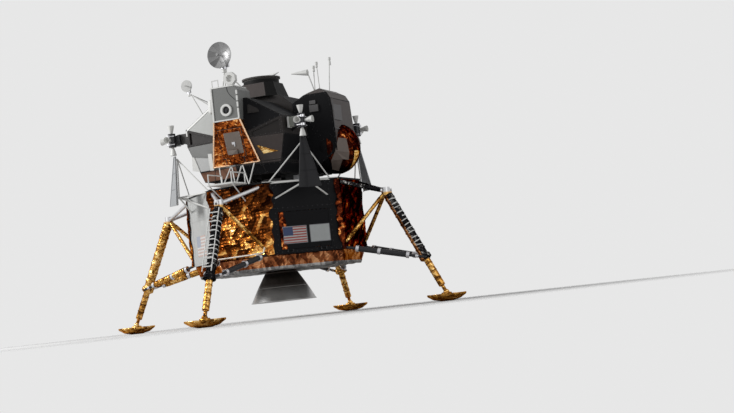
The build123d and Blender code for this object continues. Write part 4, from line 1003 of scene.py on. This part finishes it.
pale_paint = painted("pale_paint", (0.50, 0.505, 0.50), roughness=0.5, mottle=0.08)
grey_paint = painted("grey_paint", (0.23, 0.232, 0.228), roughness=0.55, mottle=0.14)
brown_paint = painted("brown_paint", (0.062, 0.050, 0.047), roughness=0.5, mottle=0.2,
                      gloss=0.25)
dark_paint = painted("dark_paint", (0.024, 0.021, 0.020), roughness=0.55, mottle=0.25,
                     gloss=0.2)
brow_paint = painted("brow_paint", (0.34, 0.35, 0.335), roughness=0.5, mottle=0.1)
rust_paint = painted("rust_paint", (0.185, 0.082, 0.045), roughness=0.45, mottle=0.25, metal=0.3)
panel_finishes = {"white": (brow_paint, "white_panel"), "pale": (pale_paint, "grey_panel"),
                  "rust": (rust_paint, "copper_foil"),
                  "grey": (grey_paint, "grey_panel"), "brown": (brown_paint, "grey_panel"),
                  "dark": (dark_paint, "black_panel"), "black": (black_paint, "black_panel")}


def lay_skin(node_name, prefix, choose, cuts=()):
    """The panels over a node, a piece for each finish, and their screws."""
    skins, heads = skin(node_name, choose, cuts)
    for name, mesh in skins.items():
        finish, slot = panel_finishes[name]
        piece(f"{prefix}_{name}_panels", mesh, finish, "lander", slot, turn_out=False)
    piece(f"{prefix}_screws", heads, screw_metal, "lander", "dark_fitting")


dress(dark_paint, "crew_cabin")
slant_line = Vector((housing_foot.x - housing_top.x, 0, housing_foot.z - housing_top.z))
cabin_cuts = [(upward * chin_split, upward), (upward * housing_foot.z, upward)]
for hand in (-1, 1):
    cabin_cuts.append((Vector((hand * housing_foot.x, 0, housing_foot.z)),
                       Vector((-slant_line.z, 0, hand * slant_line.x))))
lay_skin("crew_cabin", "cabin", hull_panel, cabin_cuts)
glass = painted("window_glass", (0.016, 0.013, 0.012), roughness=0.3, grain=0.0, gloss=0.25)
dress(glass, "cabin_windows")

brow_edges = bmesh.new()
brow_out = Vector((-0.144, -0.974, 0.176)).normalized()
strip(brow_edges, Vector((-1.245, -1.818, 4.745)), Vector((-0.56, -1.842, 5.175)), 0.05,
      brow_out, 0.014)
strip(brow_edges, Vector((-1.262, -1.812, 4.735)), Vector((-1.262, -1.810, 4.60)), 0.035,
      Vector((-0.2, -0.98, 0)).normalized(), 0.014)
soften(brow_edges, 0.003)
piece("brow_edges", brow_edges, white_paint, "lander", "white_panel")


def sheet(mesh, corners, thick):
    """A flat plate from its corners, thickened away from the side they turn about."""
    face = mesh.faces.new([mesh.verts.new(c) for c in corners])
    mesh.normal_update()
    bmesh.ops.solidify(mesh, geom=[face], thickness=thick)


# Front of the starboard chin: a shallow pale box between two white flanges, under them
# the rust-brown panel. To port a wedge of gold film over the brown panel is a painted highlight.
def chin_y(x, z):
    """Where the slanting panel beside the housing lies: it holds the point (0.45, -1.985,
    4.34) and faces along (0.2, -0.95, -0.26)."""
    return -1.985 + (0.2 * (abs(x) - 0.45) - 0.26 * (z - 4.34)) / 0.95


box_stand = 0.075
fin_stand = box_stand + 0.02
chin_box = bmesh.new()
sheet(chin_box, [(x, chin_y(x, z) - box_stand, z)
                 for x, z in ((-1.12, 4.05), (-0.70, 3.98), (-0.74, 3.71), (-1.04, 3.71))],
      -0.07)
soften(chin_box, 0.006)
piece("chin_box", chin_box, pale_paint, "lander", "grey_panel")
chin_fins = bmesh.new()
for corners in (((-1.17, 4.08), (-1.11, 4.06), (-1.03, 3.71), (-1.24, 3.76)),
                ((-0.685, 4.09), (-0.575, 4.08), (-0.615, 3.69), (-0.725, 3.70))):
    sheet(chin_fins, [(x, chin_y(x, z) - fin_stand, z) for x, z in corners], -0.018)
piece("chin_fins", chin_fins, white_paint, "lander", "white_panel")
# a wedge of gold film on the port chin, a painted highlight
chin_highlight_film = bmesh.new()
sheet(chin_highlight_film, [(x, chin_y(x, z) - 0.012, z)
                  for x, z in ((0.60, 4.13), (1.07, 3.94), (0.72, 3.92))], -0.004)
bmesh.ops.subdivide_edges(chin_highlight_film, edges=chin_highlight_film.edges[:], cuts=14, use_grid_fill=True)
crumple(chin_highlight_film, 0.005, seed=29, longest=0.16, shortest=0.04, count=6)
piece("chin_highlight_film", chin_highlight_film, gold_film, "lander", "gold_foil", turn_out=False)


# Housing round the hatch, wrapped in orange film with bright rolled edges, and the
# hatch: a framed plate under the same film, with a grey cover.
housing = fine_copy("front_housing", 0.0105)
crumple(housing, 0.010, seed=23, longest=0.3, shortest=0.035, count=9)
# the dark and bright ends of the housing tones are partly painted reflection
housing_tones = [(0.0, (0.020, 0.004, 0.002)), (0.35, (0.085, 0.017, 0.004)),
                 (0.65, (0.30, 0.066, 0.011)), (0.88, (0.66, 0.20, 0.036)),
                 (1.0, (0.95, 0.50, 0.18))]
housing_film = film_finish("housing_film", housing_tones, seed=9, spots=0.05,
                           lengths=(0.05, 0.028), heights=(0.004, 0.002))
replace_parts(piece("housing_blanket", housing, housing_film, "lander", "copper_foil"),
            "front_housing")

rolls = bmesh.new()
for hand in (-1, 1):
    high = Vector((hand * housing_top.x, housing_top.y, housing_top.z))
    low = Vector((hand * housing_foot.x, housing_foot.y, housing_foot.z))
    tube(rolls, high, low, 0.020, segments=14)
tube(rolls, (-housing_foot.x, housing_foot.y, housing_foot.z),
     (housing_foot.x, housing_foot.y, housing_foot.z), 0.018, segments=14)
long_edges = [e for e in rolls.edges if e.calc_length() > 0.5]
bmesh.ops.subdivide_edges(rolls, edges=long_edges, cuts=60, use_grid_fill=True)
crumple(rolls, 0.004, seed=45, longest=0.09, shortest=0.03, count=5)
edge_metal = painted("edge_metal", (0.90, 0.60, 0.38), roughness=0.35, metal=0.7, mottle=0.3,
                     scale=20.0)
piece("housing_edges", rolls, edge_metal, "lander", "copper_foil", turn_out=False)

slope = math.atan2(housing_foot.y - housing_top.y, housing_top.z - housing_foot.z)
hatch_height = 4.25
hatch_middle = Vector((0, housing_top.y + (housing_top.z - hatch_height)
                       * math.tan(slope), hatch_height))
hatch_out = Vector((0, -math.cos(slope), -math.sin(slope)))
hatch_rise = Vector((0, -math.sin(slope), math.cos(slope)))
hatch_half = 0.310
hatch_high = 0.350
cover_place = 0.055
cover_half = 0.215
cover_high = 0.262
hatch_frame = axes(Vector((1, 0, 0)), hatch_rise, hatch_out)
on_hatch = Matrix.Translation(hatch_middle) @ hatch_frame
hatch_paint = painted("hatch_paint", (0.155, 0.125, 0.105), roughness=0.5, mottle=0.2,
                      scale=9.0)
dress(hatch_paint, "forward_hatch")
dress(dark_metal, "hatch_hinge_pins")
hatch_film = bmesh.new()
bmesh.ops.create_grid(hatch_film, x_segments=56, y_segments=64, size=0.5)
bmesh.ops.scale(hatch_film, verts=hatch_film.verts,
                vec=(2 * hatch_half - 0.01, 2 * hatch_high - 0.01, 1))
drop(hatch_film, [f for f in hatch_film.faces
                  if abs(f.calc_center_median().x - cover_place) < cover_half - 0.004
                  and abs(f.calc_center_median().y) < cover_high - 0.004])
crumple(hatch_film, 0.004, seed=47, longest=0.16, shortest=0.03, count=7, lift=0.0045)
bmesh.ops.transform(hatch_film, matrix=on_hatch, verts=hatch_film.verts)
piece("hatch_film", hatch_film, housing_film, "hatch", "copper_foil", turn_out=False)


# The cabin's nose stands a little in front of the housing's face below the hatch. The
# film runs on over it, and a plate there carries on the cover of the hatch.
def nose(*planes):
    """The front face of the cabin's nose ahead of the hatch and inside some planes."""
    mesh = flat_copy("crew_cabin")
    for place, way in ((hatch_middle, hatch_out * -1), *planes):
        cut(mesh, place, way, clear=True)
    drop(mesh, [f for f in mesh.faces if f.normal.y > -0.9])
    return mesh


sill_low = 3.752
sill_half = 0.45
sill_step = 0.025
sill = nose((upward * sill_low, upward * -1))
drop(sill, [f for f in sill.faces if abs(f.calc_center_median().x) > sill_half])
bmesh.ops.triangulate(sill, faces=sill.faces[:])
for turn in range(5):
    long_edges = [e for e in sill.edges if e.calc_length() > sill_step]
    bmesh.ops.subdivide_edges(sill, edges=long_edges, cuts=1)
    bmesh.ops.triangulate(sill, faces=sill.faces[:])
crumple(sill, 0.007, seed=46, longest=0.2, shortest=0.035, count=7, lift=0.009)
piece("sill_film", sill, housing_film, "lander", "copper_foil", turn_out=False)
sill_plate_stand = 0.020    # clear of the highest folds of the film
sill_plate_thick = 0.003
sill_plate = nose((hatch_middle - hatch_rise * cover_high, hatch_rise * -1),
                  (Vector((cover_place + cover_half, 0, 0)), Vector((1, 0, 0))),
                  (Vector((cover_place - cover_half, 0, 0)), Vector((-1, 0, 0))))
bmesh.ops.translate(sill_plate, verts=sill_plate.verts, vec=hatch_out * sill_plate_stand)
bmesh.ops.solidify(sill_plate, geom=sill_plate.faces[:], thickness=sill_plate_thick)
piece("sill_plate", sill_plate, hatch_paint, "lander", "grey_panel")

latch = bmesh.new()
cover_face = 0.014      # how far the cover stands out from the face of the housing
latch_thick = 0.012
screw_inset = 0.02
screw_reach = 0.24
for x, y, wide, high in ((0.0, 0.0, 0.085, 0.060), (0.02, -0.055, 0.030, 0.050)):
    block(latch, on_hatch @ Vector((cover_place + x, y, cover_face + latch_thick / 2)),
          (wide, high, latch_thick), hatch_frame)
soften(latch, 0.003)
for hand in (-1, 1):
    across = cover_place + hand * (cover_half - screw_inset)
    screws(latch, on_hatch @ Vector((across, -screw_reach, cover_face)),
           on_hatch @ Vector((across, screw_reach, cover_face)), 0.08, hatch_out, 0.006)
piece("hatch_latch", latch, bare_metal, "hatch", "bare_strut")


# Equipment tower: a grey box with white corner angles, a white cap, a sensor port in a
# white ring and one thin cable down its face. To its sides, a rounded white fairing on
# the cabin's shoulder and a square dark panel on its brow.
tower_paint = painted("tower_paint", (0.160, 0.163, 0.157), roughness=0.5, mottle=0.1,
                      second=(0.74, 0.74, 0.72), beyond=5.578, soft=0.001)
dress(tower_paint, "front_tower")
dress(white_paint, "port_ring")
lens_glass = painted("lens_glass", (0.02, 0.02, 0.022), roughness=0.15, grain=0.0)
dress(lens_glass, "port_lens")
tower_half = 0.340
tower_face = -2.150
tower_low = 4.780
tower_high = 5.580
angle_wide = 0.040
trims = bmesh.new()
for hand, breaks in ((-1, ((tower_low, tower_high),)),
                     (1, ((4.80, 5.04), (5.07, 5.19), (5.22, 5.34), (5.37, 5.47)))):
    for low, high in breaks:
        block(trims, (hand * (tower_half - 0.008), tower_face - 0.002, (low + high) / 2),
              (angle_wide, 0.034, high - low))
block(trims, (0, tower_face - 0.006, tower_low + 0.016), (2 * tower_half, 0.018, 0.032))
soften(trims, 0.004)
piece("tower_trims", trims, white_paint, "lander", "white_panel")

port_middle = Vector((0.020, tower_face, 5.030))
lens_parts = bmesh.new()
for radius, depth in ((0.070, 0.012), (0.048, 0.026), (0.022, 0.036)):
    tube(lens_parts, port_middle + Vector((0, 0.030, 0)),
         port_middle + Vector((0, 0.022 - depth, 0)), radius, segments=40,
         end_radius=radius * 0.88)
piece("lens_mounts", lens_parts, dark_metal, "lander", "lens_glass", smooth=False)

cable_points = [(x, tower_face - 0.004, z) for x, z in (
    (0.075, 5.572), (0.10, 5.46), (0.16, 5.36), (0.235, 5.285), (0.285, 5.235))]
cable_mesh = bmesh.new()
for start, end in zip(cable_points, cable_points[1:]):
    tube(cable_mesh, start, end, 0.0045, segments=8)
piece("tower_cable", cable_mesh, dark_metal, "lander", "dark_fitting")

fairing = bmesh.new()
bmesh.ops.create_cone(fairing, cap_ends=True, segments=32, radius1=0.115, radius2=0.105,
                      depth=0.34, matrix=Matrix.Translation((-0.455, -1.90, 5.20)))
soften(fairing, 0.06, segments=5, rims=True)
piece("shoulder_fairing", fairing, white_paint, "lander", "white_panel", smooth=True)

brow_panel = bmesh.new()
square_out = Vector((0.30, -0.84, 0.45)).normalized()
square_at = Vector((0.585, -1.865, 5.02))
square_right = square_out.cross(upward).normalized() * -1
square_up = square_right.cross(square_out) * -1
for wide, stand in ((0.27, 0.006), (0.22, 0.012)):
    block(brow_panel, square_at + square_out * stand, (wide, wide, 0.012),
          axes(square_right, square_up, square_out))
soften(brow_panel, 0.003)
piece("brow_panel", brow_panel, dark_paint, "lander", "black_panel")


# Midsection, docking collar and drogue: black panels over the midsection, a dark
# collar with one brown-grey face forward, a satin ring on top.
def box_panel(front, side, roof, rear):
    """Names the panels of a boxy node by the way they face."""
    def choose(centre, normal):
        if normal.z > 0.5:
            return roof
        if normal.z < -0.5:
            return None
        if normal.y < -0.5:
            return front
        if normal.y > 0.5:
            return rear
        return side
    return choose


dress(dark_paint, "midsection")
lay_skin("midsection", "middle", box_panel(None, "black", "black", "black"))
collar_paint = painted("collar_paint", (0.010, 0.010, 0.010), roughness=0.6, gloss=0.12,
                       second=(0.075, 0.070, 0.066), beyond=5.93, soft=0.004)
dress(collar_paint, "docking_ring")
dress(dark_metal, "docking_drogue")


def collar_panel(centre, normal):
    """The front facets of the docking collar."""
    if 5.55 < centre.z < 5.84 and normal.y < -0.9 and abs(normal.z) < 0.5:
        return "brown"
    return None


lay_skin("docking_ring", "collar", collar_panel)


# Tank bays: black front and shoulders to port, with a brown-grey roof panel and a paler
# outer side, grey to starboard, and red film over the bulge of the tanks.
def port_bay_panel(centre, normal):
    """Panels of the port tank bay."""
    flat = max(abs(normal.x), abs(normal.y), abs(normal.z)) > 0.97
    if normal.y < -0.9:
        return "black"
    if normal.y < -0.3 and normal.z > 0.5:
        return "brown"
    if normal.y > 0.9:
        return "black"
    if normal.x > 0.9 and flat:
        return "brown"
    if normal.z > 0.25 and normal.x > 0.2 and centre.z > 4.5:
        return "brown"
    return None


def starboard_bay_panel(centre, normal):
    """Panels of the starboard tank bay."""
    if abs(normal.y) > 0.9:
        return "grey"
    if normal.z > 0.5:
        return "pale"
    if normal.x < -0.9 and abs(normal.z) < 0.2:
        return "pale"
    return None


dress(black_paint, "port_tank_bay")
lay_skin("port_tank_bay", "port_bay", port_bay_panel)
dress(grey_paint, "starboard_tank_bay")
lay_skin("starboard_tank_bay", "starboard_bay", starboard_bay_panel)

tank_red = film_finish("tank_red", red_tones, seed=6, edge=(0.22, 0.06, 0.03), clouds=0.6)
tank_amber = film_finish("tank_amber", amber_tones, seed=6)
tank_radius = 0.62
port_tank = Vector((1.72, 0.15, 4.00))
starboard_tank = Vector((-1.15, 0.15, 4.00))
for hand, heart, bay_side, name, finish in (
        (1, port_tank, 2.03, "port", tank_red),
        (-1, starboard_tank, 1.56, "starboard", tank_amber)):
    tank = bmesh.new()
    bmesh.ops.create_uvsphere(tank, u_segments=120, v_segments=80, radius=tank_radius + 0.006)
    bmesh.ops.translate(tank, verts=tank.verts, vec=heart)
    cut(tank, (hand * (bay_side - 0.25), 0, 0), (-hand, 0, 0), clear=True)
    crumple(tank, 0.012, seed=51 + hand, longest=0.3, shortest=0.05, count=8, lift=0.012)
    piece(f"{name}_tank_film", tank, finish, "lander", "copper_foil", turn_out=False)

bay_fittings = bmesh.new()
# left, right, bottom, top and depth of dim boxes high on the port bay's front
bay_front = -0.450
for left, right_side, low, high, deep in ((1.44, 1.60, 5.09, 5.18, 0.030),
                                          (1.43, 1.66, 4.90, 5.07, 0.045)):
    block(bay_fittings, ((left + right_side) / 2, bay_front - deep / 2, (low + high) / 2),
          (right_side - left, deep, high - low))
block(bay_fittings, (2.037, -0.20, 4.84), (0.012, 0.52, 0.38))
soften(bay_fittings, 0.005)
dim_paint = painted("dim_paint", (0.090, 0.086, 0.088), roughness=0.55, mottle=0.25)
piece("bay_fittings", bay_fittings, dim_paint, "lander", "grey_panel")

# a faceted plate over the port tank's film: its corners on a ball round the tank
plate_lift = 1.05
tank_plate = bmesh.new()
for corners in (((2.05, -0.372, 4.185), (2.2, -0.253, 4.154), (2.221, -0.217, 3.827),
                 (1.967, -0.435, 3.884)),
                ((1.967, -0.435, 3.884), (2.221, -0.217, 3.827), (2.166, -0.174, 3.665),
                 (2.07, -0.294, 3.689)),
                ((1.967, -0.435, 3.884), (2.07, -0.294, 3.689), (1.883, -0.137, 3.446),
                 (1.766, -0.244, 3.492), (1.827, -0.401, 3.682))):
    sheet(tank_plate, [port_tank + (Vector(c) - port_tank) * plate_lift for c in corners],
          0.010)
tank_brown = painted("tank_brown", (0.135, 0.105, 0.088), roughness=0.5, mottle=0.3)
piece("tank_plate", tank_plate, tank_brown, "lander", "grey_panel")
# a strip of gold film over the port tank's red film, a painted highlight
tank_highlight_strip = bmesh.new()
bmesh.ops.create_grid(tank_highlight_strip, x_segments=8, y_segments=34, size=0.5)
for v in tank_highlight_strip.verts:
    lean = math.radians(-12) - v.co.y * math.radians(44) - math.radians(22)
    swing = math.radians(-12 + 24 * v.co.x * (0.5 - 0.5 * v.co.y))
    v.co = Vector((math.cos(lean) * math.cos(swing), math.cos(lean) * math.sin(swing),
                   math.sin(lean))) * (tank_radius + 0.045)
bmesh.ops.translate(tank_highlight_strip, verts=tank_highlight_strip.verts, vec=port_tank)
crumple(tank_highlight_strip, 0.006, seed=55, longest=0.14, shortest=0.04, count=6)
piece("tank_highlight_strip", tank_highlight_strip, gold_film, "lander", "gold_foil", turn_out=False)

ledge = bmesh.new()
for low, high in (((2.035, -0.44, 4.43), (2.035, 0.77, 4.43)),
                  ((2.035, -0.44, 5.16), (2.035, -0.44, 4.44))):
    tube(ledge, low, high, 0.016, segments=12)
piece("bay_ledge", ledge, dim_paint, "lander", "grey_panel")


# Aft equipment bay: grey panels on a rack behind the midsection, over four bright
# fittings that join the stages.
dress(dark_paint, "aft_equipment_bay")
lay_skin("aft_equipment_bay", "aft", box_panel(None, "grey", "pale", "grey"))
dress(bare_metal, "stage_fittings")


# Thruster clusters: dark housings on tubular arms, four white bells with dark throats
# on each, and grey shrouds over the arms beside the cabin.
dress(dark_metal, "rcs_quads")
dress(white_paint, "rcs_nozzles")
quad_place = 1.730
quad_height = 4.570
shrouds = bmesh.new()
plumbing = bmesh.new()
for sx in (-1, 1):
    for sy in (-1, 1):
        block(shrouds, (sx * 1.485, sy * 1.56, quad_height + 0.02), (0.30, 0.13, 0.24))
        for lean in (-1, 1):
            at = Vector((sx * quad_place, sy * quad_place, quad_height + lean * 0.10))
            tube(plumbing, at + Vector((sx * 0.055, sy * 0.055, -0.03)),
                 at + Vector((sx * 0.055, sy * 0.055, 0.03)), 0.052, segments=14)
            tube(plumbing, at + Vector((-sx * 0.10, sy * 0.06, 0)),
                 at + Vector((sx * 0.06, sy * 0.10, 0)), 0.014, segments=10)
            tube(plumbing, at + Vector((sx * 0.09, -sy * 0.09, -0.02)),
                 at + Vector((-sx * 0.16, -sy * 0.13, lean * 0.04)), 0.012, segments=10)
soften(shrouds, 0.008)
shroud_paint = painted("shroud_paint", (0.045, 0.042, 0.040), roughness=0.5,
                       second=(0.26, 0.27, 0.24), way=(1, 0, 0), beyond=0.0)
piece("arm_shrouds", shrouds, shroud_paint, "lander", "grey_panel")
shroud_bars = bmesh.new()
for sx in (-1, 1):
    block(shroud_bars, (sx * 1.345, -1.565, quad_height + 0.02), (0.045, 0.16, 0.26))
soften(shroud_bars, 0.006)
piece("shroud_bars", shroud_bars, white_paint, "lander", "white_panel")
soften(plumbing, 0.004, rims=True)
piece("thruster_valves", plumbing, bare_metal, "lander", "bare_strut")


# Dish on the tower: a spun metal reflector of twelve petals with radial seams, in a bright
# yoke on a white-legged pedestal. Each petal's own grey, from a random number, is a painted
# reflection.
dish_middle = Vector((0, -2.0, 6.350))
dish_petals = 12.0
dish_finish, tree, shader = new_finish("dish_metal")
coords = node(tree, "TexCoord")
centred = node(tree, "VectorMath", operation="SUBTRACT", at_1=dish_middle)
parts = node(tree, "SeparateXYZ")
angle = node(tree, "Math", operation="ARCTAN2")
petals = node(tree, "MapRange", From_Min=-math.pi, From_Max=math.pi, To_Max=dish_petals)
petal = node(tree, "Math", operation="FLOOR")
# each petal's random grey between 0.13 and 0.36 is a painted reflection of light on the segments
petal_reflection = node(tree, "TexWhiteNoise", noise_dimensions="1D")
tone = node(tree, "MapRange", To_Min=0.13, To_Max=0.36)
inside_petal = node(tree, "Math", operation="FRACT")
seam = node(tree, "Math", operation="LESS_THAN", at_1=0.06)
shade = node(tree, "Math", operation="MULTIPLY_ADD", at_1=-0.09)
grain = node(tree, "TexNoise", Scale=40.0, Detail=4.0)
rough = node(tree, "MapRange", To_Min=0.30, To_Max=0.5)
wire(tree, (coords, "Object"), (centred, 0), (centred, 0), (parts, 0),
     (parts, "Z"), (angle, 0), (parts, "X"), (angle, 1), (angle, 0), (petals, "Value"),
     (petals, 0), (petal, 0), (petal, 0), (petal_reflection, "W"), (petal_reflection, "Value"),
     (tone, "Value"), (petals, 0), (inside_petal, 0), (inside_petal, 0), (seam, 0),
     (seam, 0), (shade, 0), (tone, 0), (shade, 2), (shade, 0), (shader, "Base Color"),
     (coords, "Object"), (grain, 0), (grain, 0), (rough, "Value"), (rough, 0),
     (shader, "Roughness"))
shader.inputs["Metallic"].default_value = 0.7
dress(dish_finish, "radar_dish")
dress(white_paint, "radar_pedestal")
dress(bare_metal, "radar_yoke")


# Side antenna: a small pale disc on a bright yoke, at the end of a boom of three
# white-painted tubes that is bolted to the cabin's side.
dress(white_paint, "antenna_boom")
dress(bare_metal, "antenna_yoke")
disc_paint = painted("disc_paint", (0.42, 0.42, 0.41), roughness=0.45, metal=0.3)
dress(disc_paint, "antenna_dish")


# Sensor head, cone antennas and whips on top, of metal painted white and bolted to the
# roof. Each whip has a thicker tip.
dress(white_paint, "sensor_head", "vhf_antennas")
whip_heads = bmesh.new()
for place, high in (((1.620, -0.200, 6.110), 0.11), ((1.830, 0.150, 6.230), 0.17),
                    ((1.450, 0.0, 6.060), 0.12)):
    bmesh.ops.create_cone(whip_heads, cap_ends=True, segments=16, radius1=0.030,
                          radius2=0.022, depth=high, matrix=Matrix.Translation(
                              Vector(place) - upward * (high / 2 - 0.008)))
soften(whip_heads, 0.008, segments=3, rims=True)
piece("whip_heads", whip_heads, white_paint, "lander", "white_panel", smooth=True)
